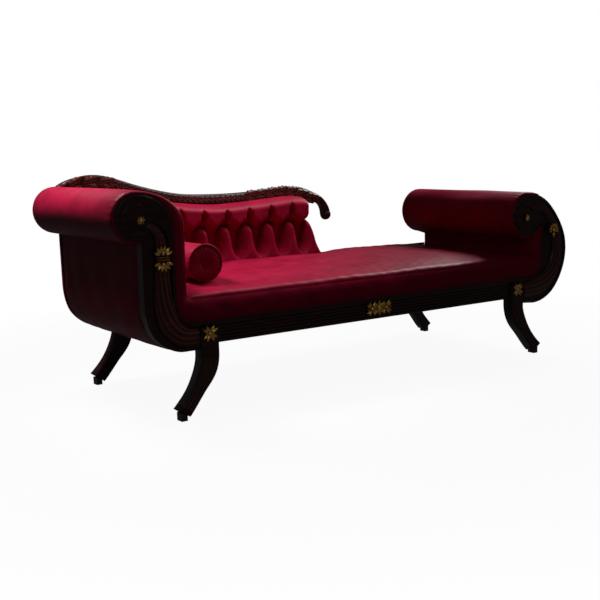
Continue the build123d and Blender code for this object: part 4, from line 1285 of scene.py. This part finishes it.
# ---- carving ----
def leaf_blade(length: float, width: float, height: float, curl: float = 0.0,
               lobes: int = 0) -> Shell:
    """A carved leaf that lies along +X on the plane y = 0 and stands out towards -Y.

    Its half width is w sin(pi u^0.8)^0.75 (1 - c |cos(pi k u)|), its height h sin(pi u)^0.6
    (1 - v^2) less a groove along its rib, and its tip lifts by curl u^3.

    Args:
        length: from root to tip.
        width: across the widest part.
        height: how far its middle stands out.
        curl: how far the tip lifts.
        lobes: notches along each edge.

    Returns:
        The closed leaf, with its relief.
    """
    u = np.linspace(0, 1, 22)[:, None]
    v = np.linspace(-1, 1, 13)
    half = width / 2 * np.sin(np.pi * u**0.8) ** 0.75
    if lobes:
        half = half * (1 - 0.28 * np.abs(np.cos(np.pi * lobes * u)) * np.sin(np.pi * u) ** 0.3)
    ridge = 1 - v**2
    groove = 0.35 * np.exp(-(v / 0.22) ** 2)
    body = np.sin(np.pi * np.clip(u, 0.02, 0.98)) ** 0.6
    top = -(height * body * (ridge - groove) + curl * u**3 + 0.0004)
    flat = np.stack([length * u + 0 * top, half * v], -1)
    under = stand(flat, 0.0012 - curl * 0.6 * u**3)
    grid = np.concatenate([stand(flat, top), under[:, ::-1][:, 1:-1]], axis=1)
    # On carved wood a high relief paints the leaf's crests lighter, partly wear from rubbing and
    # partly painted highlight; on gilt it sets gold against tarnish.
    relief = 0.15 + 0.85 * (ridge - 1.6 * groove) * body
    relief = np.concatenate([relief, np.zeros((len(u), len(v) - 2))], axis=1)
    return Shell.tube(grid, np.clip(relief, 0, 1))


def turned(shell: Shell, angle: float, place: Sequence[float], scale: float = 1.0) -> Shell:
    """A leaf turned about Y.

    Args:
        shell: the leaf.
        angle: degrees anticlockwise from +X towards +Z, as seen from the front.
        place: where its root goes.
        scale: its size against the leaf's.

    Returns:
        The leaf in its place.
    """
    c, s = math.cos(math.radians(angle)), math.sin(math.radians(angle))
    return shell.moved(scale * np.array([[c, 0, -s], [0, 1, 0], [s, 0, c]]), place)


def fan(angles: Iterable[float], place: Sequence[float], leaf: Shell, root: float) -> list[Shell]:
    """Leaves spread about a middle.

    Args:
        angles: where each leaf points, in degrees.
        place: the middle.
        leaf: the leaf that is repeated.
        root: how far from the middle each leaf starts.

    Returns:
        One shell for each angle.
    """
    return [turned(leaf, angle, place + stand(arc((0, 0), root, angle, angle, 1)[0], 0.0))
            for angle in angles]


def bead(path: np.ndarray, y: float, radius: float = 0.0042) -> Shell:
    """Carved bead along an (x, z) path, half sunk in the face at y."""
    return cord_round(stand(evenly(path, 260), y), radius)


def spiral(eye: tuple[float, float], radii: tuple[float, float], start: float,
           stop: float) -> np.ndarray:
    """Part of a spiral, whose radius and angle both change evenly.

    Args:
        eye: its middle.
        radii: the first and the last radius.
        start: first angle in degrees.
        stop: last angle.

    Returns:
        Its (x, z) points.
    """
    radius = np.linspace(*radii, 120)[:, None]
    return np.asarray(eye) + radius * arc((0, 0), 1.0, start, stop, 120)


@dataclass
class Horn:
    """Horn of plenty carved on a facing: gadroons that wind from the eye to the reeded rail.

    Its path is a row of (x, z, half width) from the tip to the mouth.
    """

    name: str
    node: str
    path: tuple[tuple[float, float, float], ...]
    twist: float
    flutes: int = 6
    steps: int = 220
    sunk: float = 0.008 - HALF_DEPTH

    def build(self) -> None:
        """Half sections w cos q across and h sin q out, cut by |sin| gadroons that wind with s."""
        path = np.array(self.path)
        centre = spline(path[:, :2], self.steps)
        share = np.linspace(0, 1, self.steps)[:, None]
        half = np.interp(share, np.linspace(0, 1, len(path)), path[:, 2])
        turn = np.linspace(0, np.pi, 73)
        rise = np.sin(turn)
        gadroon = np.abs(np.sin(self.flutes * turn + self.twist * np.pi * share**1.2))
        depth = 0.10 + 0.12 * smooth(share, 0.0, 0.5)
        form = 1 - depth * (1 - gadroon**0.8) * rise**0.4
        wide = half * np.cos(turn) * (0.97 + 0.03 * form)
        proud = np.clip(share * 9, 0, 1) ** 0.5
        out = (0.011 + 0.20 * half) * rise**0.75 * form * proud
        flat = centre[:, None] + left_normals(centre)[:, None] * wide[..., None]
        back = stand(flat[:, ::-1], self.sunk + CLEAR)
        grid = np.concatenate([stand(flat, self.sunk - out), back[:, 1:-1]], axis=1)
        # A high relief paints the gadroons' crests lighter: partly wear from rubbing, partly
        # painted highlight.
        relief = 0.25 + 0.75 * gadroon**1.5 * rise**0.5
        relief = np.concatenate([relief, np.zeros((len(relief), len(turn) - 2))], axis=1)
        make_piece(self.name, Shell.tube(grid, relief), CARVED_MAHOGANY, [self.node], crease=75.0)


HEAD_HORN = Horn("head_horn_carving", "head_horn",
                 ((-1.003, 0.703, 0.011), (-0.968, 0.672, 0.020), (-0.956, 0.610, 0.027),
                  (-0.956, 0.520, 0.032), (-0.955, 0.430, 0.038), (-0.934, 0.350, 0.042),
                  (-0.884, 0.301, 0.038), (-0.826, 0.292, 0.033)), 2.6)
FOOT_HORN = Horn("foot_horn_carving", "foot_horn",
                 ((0.897, 0.652, 0.011), (0.945, 0.655, 0.018), (1.000, 0.610, 0.026),
                  (1.038, 0.535, 0.032), (1.048, 0.455, 0.038), (1.024, 0.378, 0.042),
                  (0.950, 0.315, 0.042), (0.828, 0.290, 0.034)), -2.6)


@dataclass
class Leg:
    """Sabre leg: a rounded square section that narrows to a stepped toe, reeded on its front."""

    x: float = 0.783
    half: float = 0.037
    face_y: float = -0.385
    thick: float = 0.054
    top: float = 0.325
    knee: float = 0.233
    lean: float = 3.0
    reeds: int = 3
    reed_depth: float = 0.0035
    corner: float = 0.004
    rings: int = 110
    inner: Line = ((-0.016, 0.152), (0.028, 0.098), (0.097, 0.015))
    outer: Line = ((0.057, 0.155), (0.089, 0.099), (0.139, 0.044))

    def edge(self, side: float, bends: Line) -> np.ndarray:
        """One edge of the leg, about the leg's own middle.

        Args:
            side: where it runs down the post.
            bends: the places that it passes below the knee.

        Returns:
            Evenly spaced points from the post down to the toe.
        """
        curve = spline([(side, self.knee), *bends], 80, ((0, -1), (1, -1)))
        return evenly(chain([(side, self.top), (side, self.knee + 0.01)], curve), self.rings)

    def shell(self) -> Shell:
        """Rings between the two edges: rounded corners, three reeds down the front face.

        Below the knee every point turns by the lean about the line (y = face, z = knee).
        """
        inner, outer = self.edge(-self.half, self.inner), self.edge(self.half, self.outer)
        u = np.linspace(0, 1, 41)
        reed = np.abs(np.sin(np.pi * self.reeds * np.clip((u - 0.08) / 0.84, 0, 1))) ** 0.6
        edge = 1 - np.abs(2 * u - 1) ** 14
        drop = np.linspace(0, 1, self.rings)[:, None]
        carve = smooth(drop, 0.30, 0.36) * (1 - smooth(drop, 0.93, 0.97))
        cut = self.reed_depth * carve * (reed - 1) * smooth(edge, 0.0, 0.9)
        corner = self.corner * (1 - edge**0.5)
        flat = inner[:, None] + (outer - inner)[:, None] * u[:, None]
        rear = stand(flat[:, ::-1], self.face_y + self.thick - corner[::-1])
        grid = np.concatenate([stand(flat, self.face_y + corner - cut), rear], axis=1)
        turn = math.radians(self.lean)
        down = np.clip(self.knee - grid[..., 2], 0.0, None)
        ahead = grid[..., 1] - self.face_y
        leaning = np.stack([self.face_y + ahead * math.cos(turn) - down * math.sin(turn),
                            self.knee - down * math.cos(turn) - ahead * math.sin(turn)], -1)
        grid[..., 1:] = np.where((down > 0)[..., None], leaning, grid[..., 1:])
        # A high relief paints the reeds' crests lighter: partly wear from rubbing, partly painted
        # highlight.
        relief = np.concatenate([0.30 + 0.5 * carve * reed, 0.3 + 0 * cut], axis=1)
        return Shell.tube(grid, relief)

    def build_all(self) -> None:
        """Four legs, mirrored from one."""
        one = self.shell()
        for node, flip_x, flip_y in (("leg_front_foot", 1, 1), ("leg_front_head", -1, 1),
                                     ("leg_rear_foot", 1, -1), ("leg_rear_head", -1, -1)):
            shell = one.moved(np.diag([flip_x, flip_y, 1.0]), (flip_x * self.x, 0.0, 0.0))
            make_piece(node + "_moulded", shell, MAHOGANY, [node], crease=50.0)


@dataclass
class Crest:
    """The crest's carving: a running laurel on its face, acanthus on the swell and at the head."""

    face_y: float = 0.331
    top: Line = (
        (-1.062, 0.798), (-1.010, 0.836), (-0.950, 0.854), (-0.885, 0.862), (-0.815, 0.851),
        (-0.714, 0.819), (-0.600, 0.788), (-0.494, 0.768), (-0.400, 0.761), (-0.290, 0.758),
        (-0.084, 0.765), (0.060, 0.775), (0.120, 0.771), (0.190, 0.747), (0.240, 0.722),
        (0.270, 0.692), (0.286, 0.664), (0.291, 0.636))
    under: Line = ((-1.000, 0.770), *CREST_UNDERSIDE, (0.200, 0.697), (0.222, 0.694),
                   (0.240, 0.682), (0.251, 0.660), (0.255, 0.636))

    def along(self, fine: int, start: float, stop: float, count: int) -> np.ndarray:
        """Even places on the line midway between the crest's two long edges.

        Args:
            fine: points in the line that they are picked from.
            start: the least x.
            stop: the greatest x.
            count: how many places.

        Returns:
            For each place its x, its z and the line's direction in degrees.
        """
        top, under = spline(self.top, 600), spline(self.under, 600)
        near = under[np.argmin(np.linalg.norm(top[:, None] - under[None], axis=2), axis=1)]
        line = evenly(spline(((top + near) / 2)[::40], 400), fine)
        places = evenly(line[(line[:, 0] > start) & (line[:, 0] < stop)], count)
        ahead = tangents(places)
        return np.column_stack([places, np.degrees(np.arctan2(ahead[:, 1], ahead[:, 0]))])

    def laurel(self) -> None:
        """Pairs of leaves along the face, a berry between each pair."""
        leaf = leaf_blade(0.036, 0.017, 0.0055, 0.002)
        shells: list[Shell] = []
        for x, z, turn in self.along(400, -0.90, 0.205, 44):
            shells += [turned(leaf, turn + side, (x, self.face_y + 0.001, z)) for side in (-24, 24)]
            shells.append(dome((x, self.face_y, z), 0.0045, 0.006, 12))
        make_piece("crest_laurel", shells, CARVED_MAHOGANY, crease=CARVED_CREASE)

    def acanthus(self) -> None:
        """Lobed leaves that overlap along the swell by the neck and over the head's end."""
        big = leaf_blade(0.082, 0.040, 0.010, 0.004, lobes=4)
        shells = [turned(big, turn + side, (x - 0.03, self.face_y + 0.002, z + lift), scale)
                  for start, stop, count in ((-0.16, 0.17, 7), (-1.03, -0.84, 4))
                  for x, z, turn in self.along(500, start, stop, count)
                  for side, lift, scale in ((10, 0.004, 1.0), (-14, -0.003, 0.8))]
        make_piece("crest_acanthus", shells, CARVED_MAHOGANY, crease=CARVED_CREASE)


@dataclass
class Mounts:
    """Gilt castings pinned to the wood."""

    face_y: float = -HALF_DEPTH
    leg_y: float = Leg.face_y
    leg_z: float = 0.302
    centre_z: float = 0.306

    def bar(self, middle: Sequence[float], half: float, radius: float, count: int) -> Shell:
        """A round bar along X.

        Args:
            middle: its middle.
            half: half its length.
            radius: its radius.
            count: rings along it.

        Returns:
            The closed bar.
        """
        along = np.linspace(-half, half, count)[:, None] * (1.0, 0.0, 0.0)
        return cord_round(np.asarray(middle) + along, radius, 10)

    def rosette(self, name: str, node: str, x: float, z: float) -> None:
        """Eight petals about a boss."""
        petal = leaf_blade(0.016, 0.0085, 0.0045, 0.002)
        shells = fan(range(0, 360, 45), (x, self.face_y, z), petal, 0.002)
        shells.append(dome((x, self.face_y - 0.002, z), 0.0065, 0.006))
        make_piece(name, shells, GILT_BRASS, [node])

    def head_palmette(self) -> None:
        """Two fans back to back on a moulded tie."""
        x, z, y = -0.956, 0.584, self.face_y - 0.010
        leaf = leaf_blade(0.032, 0.0150, 0.0050, 0.003)
        shells = fan(range(20, 161, 28), (x, y, z + 0.010), leaf, 0.008)
        shells += fan(range(200, 341, 28), (x, y, z - 0.010), leaf, 0.008)
        shells += [self.bar((x, y - 0.002, z + dz), 0.023, 0.0034, 12) for dz in (-0.004, 0.004)]
        shells += [dome((x, y - 0.003, z + dz), 0.0060, 0.005) for dz in (-0.018, 0.018)]
        make_piece("head_palmette_mount", shells, GILT_BRASS, ["head_horn_mount"])

    def foot_palmette(self) -> None:
        """One fan with a tail."""
        x, z, y = 1.010, 0.552, self.face_y - 0.010
        leaf = leaf_blade(0.027, 0.0150, 0.0055, 0.003)
        tail = leaf_blade(0.036, 0.020, 0.0050, 0.002, lobes=3)
        shells = fan(range(-15, 196, 30), (x, y, z), leaf, 0.007)
        shells.append(turned(tail, 270, (x, y - 0.001, z - 0.004)))
        shells += [dome((x, y - 0.004, z), 0.008, 0.006),
                   dome((x, y - 0.004, z - 0.018), 0.005, 0.005)]
        make_piece("foot_palmette_mount", shells, GILT_BRASS, ["foot_horn_mount"])

    def leg_cross(self, name: str, node: str, x: float) -> None:
        """Four double leaves in a cross, with a short leaf between them."""
        spot = (x, self.leg_y, self.leg_z)
        angles = [quarter + turn for quarter in (45, 135, 225, 315) for turn in (-16, 16)]
        shells = fan(angles, spot, leaf_blade(0.033, 0.0150, 0.0055, 0.002), 0.003)
        shells += fan(range(0, 360, 90), spot, leaf_blade(0.017, 0.009, 0.0045, 0.001), 0.003)
        shells.append(dome((x, self.leg_y - 0.002, self.leg_z), 0.0065, 0.005))
        make_piece(name, shells, GILT_BRASS, [node])

    def centre(self) -> None:
        """Two sprays on either side of a flower, on a short bar."""
        y, z = self.face_y, self.centre_z
        petal = leaf_blade(0.030, 0.0150, 0.0055, 0.003)
        side = leaf_blade(0.032, 0.0140, 0.0055, 0.003)
        shells = fan(range(0, 360, 45), (0.0, y - 0.001, z), petal, 0.004)
        for dx in (-0.036, 0.036):
            shells += fan((-60, -35, 35, 60, 120, 145, 215, 240), (dx, y, z), side, 0.003)
            shells.append(dome((dx, y - 0.003, z), 0.007, 0.006))
        shells += [self.bar((0.0, y - 0.002, z), 0.062, 0.0050, 20),
                   dome((0.0, y - 0.004, z), 0.010, 0.007)]
        make_piece("centre_rail_mount", shells, GILT_BRASS, ["centre_mount"])

    def build_all(self) -> None:
        """All seven castings."""
        self.rosette("head_eye_flower", "head_eye_rosette", -1.029, 0.720)
        self.rosette("foot_eye_flower", "foot_eye_rosette", 0.851, 0.615)
        self.head_palmette()
        self.foot_palmette()
        self.leg_cross("head_leg_cross", "head_leg_mount", -Leg.x)
        self.leg_cross("foot_leg_cross", "foot_leg_mount", Leg.x)
        self.centre()


# ---- CAD nodes that stay ----
class Kept(Enum):
    """Which CAD nodes keep their own shape, by the finish that they get."""

    POLISHED = ("front_seat_rail", "head_front_facing", "crest_rail")
    STAINED = ("rear_seat_rail",)
    SAWN = ("head_end_rail", "foot_end_rail", "seat_brace_head", "seat_brace_foot",
            "corner_blocks", "head_roll_core", "foot_roll_core", "head_arm_battens",
            "foot_arm_battens", "back_left_stile", "back_right_stile", "back_bottom_rail",
            "back_slats")
    STEEL = ("leg_bolts", "seat_springs", "spring_clips")
    GLIDES = ("glide_front_head", "glide_front_foot", "glide_rear_head", "glide_rear_foot")
    HESSIAN = ("seat_deck",)
    WEBBING = ("back_webbing",)
    CLOTH = ("dust_cloth",)


def dress_kept_nodes() -> None:
    """Gives every CAD node that keeps its own shape the finish of what it is made of."""
    finishes = {Kept.POLISHED: MAHOGANY, Kept.STAINED: STAINED_BEECH, Kept.SAWN: SAWN_BEECH,
                Kept.STEEL: SPRING_STEEL, Kept.GLIDES: GLIDE_NYLON, Kept.HESSIAN: HESSIAN,
                Kept.WEBBING: WEBBING, Kept.CLOTH: DUST_CLOTH}
    for kept, finish in finishes.items():
        for node in kept.value:
            finish.dress(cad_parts[node])
    LOG.info("dressed %d kept nodes", sum(len(kept.value) for kept in Kept))


# ---- studio ----
@dataclass
class Studio:
    """Camera, floor, soft light and white surroundings."""

    eye: tuple[float, float, float] = (-2.53401, -3.49718, 0.95293)
    yaw: float = 34.558
    pitch: float = 8.608
    roll: float = -1.481
    lens: float = 60.776
    sensor: float = 36.0
    fill: float = 0.014
    mirrored: float = 0.07
    floor_reach: float = 40.0
    lit_paper: str = "#3a3a3a"
    seen_paper: str = "#f2f2f2"
    shadow_reach: tuple[float, float] = (1.2, 2.6)
    plain_share: float = 0.94

    def camera(self) -> None:
        """Sets the camera from its place, yaw, pitch and roll."""
        yaw, pitch, roll = (math.radians(a) for a in (self.yaw, self.pitch, self.roll))
        ahead = Vector((math.sin(yaw) * math.cos(pitch), math.cos(yaw) * math.cos(pitch),
                        -math.sin(pitch)))
        right = Vector((math.cos(yaw), -math.sin(yaw), 0.0))
        up = right.cross(ahead)
        level_right = math.cos(roll) * right + math.sin(roll) * up
        level_up = -math.sin(roll) * right + math.cos(roll) * up
        turn = Matrix((level_right, level_up, -ahead)).transposed().to_4x4()
        data = bpy.data.cameras.new("camera")
        data.lens = self.lens
        data.sensor_width = self.sensor
        data.dof.use_dof = False
        camera = link("camera", data)
        camera.matrix_world = Matrix.Translation(Vector(self.eye) + Vector(SHIFT)) @ turn
        bpy.context.scene.camera = camera

    def seen(self, tree: bpy.types.NodeTree) -> tuple[bpy.types.Node, int]:
        """Finds the rays that show the surroundings.

        Args:
            tree: the tree that the nodes go into.

        Returns:
            An output that is 1 for camera rays and through glass, and small in gloss.
        """
        path = add_node(tree, "LightPath")
        gloss = add_node(tree, "Math", {0: (path, "Is Glossy Ray"), 1: self.mirrored},
                         operation="MULTIPLY")
        both = add_node(tree, "Math", {0: (path, "Is Camera Ray"), 1: (gloss, 0)},
                        operation="MAXIMUM")
        return (add_node(tree, "Math", {0: (both, 0), 1: (path, "Is Transmission Ray")},
                         operation="MAXIMUM"), 0)

    def world(self) -> None:
        """White where it is seen, and a dim even fill where it only lights."""
        world = bpy.data.worlds.new("studio")
        world.use_nodes = True
        tree = world.node_tree
        tree.nodes.clear()
        strength = add_node(tree, "MapRange", {"Value": self.seen(tree), "To Min": self.fill,
                                               "To Max": 1.0})
        background = add_node(tree, "Background", {"Color": linear("#ffffff"),
                                                   "Strength": (strength, "Result")})
        add_node(tree, "OutputWorld", {"Surface": (background, 0)})
        bpy.context.scene.world = world

    def floor(self) -> None:
        """White paper: pure white where it is seen, but for the object's soft shadow close by.

        Its share of plain white grows with the distance r from the object, so that it has no
        horizon.  The paper that lights the object is a dark grey, which keeps bounced light low.
        """
        mesh = bpy.data.meshes.new("floor")
        corners = [(x * self.floor_reach, y * self.floor_reach, 0)
                   for x, y in ((-1, -1), (1, -1), (1, 1), (-1, 1))]
        mesh.from_pydata(corners, [], [(0, 1, 2, 3)])
        material = bpy.data.materials.new("white_paper_sweep")
        material.use_nodes = True
        tree = material.node_tree
        tree.nodes.clear()
        seen = self.seen(tree)
        paper = add_node(tree, "Mix", {0: seen, 6: linear(self.lit_paper),
                                       7: linear(self.seen_paper)}, data_type="RGBA")
        matt = add_node(tree, "BsdfDiffuse", {"Color": (paper, 2)})
        glow = add_node(tree, "Emission", {"Color": linear("#ffffff"), "Strength": 1.0})
        distance = add_node(tree, "VectorMath", {0: (add_node(tree, "TexCoord"), "Object")},
                            operation="LENGTH")
        near, far = self.shadow_reach
        plain = add_node(tree, "MapRange", {"Value": (distance, "Value"), "From Min": near,
                                            "From Max": far, "To Min": self.plain_share,
                                            "To Max": 1.0})
        share = add_node(tree, "Math", {0: seen, 1: (plain, "Result")}, operation="MULTIPLY")
        mixed = add_node(tree, "MixShader", {0: (share, 0), 1: (matt, 0), 2: (glow, 0)})
        add_node(tree, "OutputMaterial", {"Surface": (mixed, 0)})
        mesh.materials.append(material)
        link("floor", mesh)

    def lamp(self, name: str, place: Sequence[float], aim: Sequence[float],
             size: tuple[float, float], power: float, spread: float = 180.0) -> None:
        """A soft rectangular lamp that faces a point.

        Args:
            name: the lamp's name.
            place: where it hangs.
            aim: what it points at.
            size: its width and height.
            power: its power in watts.
            spread: the angle in degrees that its light is held within.
        """
        data = bpy.data.lights.new(name, "AREA")
        data.shape = "RECTANGLE"
        data.size, data.size_y = size
        data.energy = power
        data.spread = math.radians(spread)
        turn = (Vector(aim) - Vector(place)).to_track_quat("-Z", "Y").to_matrix().to_4x4()
        link(name, data).matrix_world = Matrix.Translation(Vector(place)) @ turn

    def build(self) -> None:
        """Everything round the object."""
        self.camera()
        self.world()
        self.floor()
        self.lamp("key", (-1.28, 0.50, 2.00), (-1.00, 0.0, 0.75), (0.5, 0.5), 5.2, 60.0)
        self.lamp("back", (0.20, -0.10, 1.85), (-0.30, 0.24, 0.60), (0.9, 0.3), 3.2, 70.0)
        self.lamp("right", (2.20, 0.62, 2.25), (0.40, 0.0, 0.45), (1.0, 1.0), 19.0, 110.0)
        self.lamp("front", (-1.30, -3.30, 2.00), (0.0, -0.30, 0.45), (0.4, 0.4), 4.5)
        bpy.context.scene.view_settings.view_transform = "Standard"


def main() -> None:
    """Builds the studio and every sub-assembly."""
    logging.basicConfig(level=logging.INFO, format="%(message)s")
    Studio().build()
    dress_kept_nodes()
    head, foot, seat, back, crest = HeadEnd(), FootEnd(), Seat(), HalfBack(), Crest()
    for step in (head.cover, head.rear_cover, head.outer_side, foot.cover, foot.rear_cover,
                 foot.outer_side, seat.cushion, seat.border, seat.rear_border, back.pad,
                 back.button_heads, back.outer_cover, Bolster().build, head.carve_facing,
                 foot.carve_facing, HEAD_HORN.build, FOOT_HORN.build, Leg().build_all,
                 crest.laurel, crest.acanthus, Mounts().build_all):
        step()


if __name__ == "__main__":
    main()
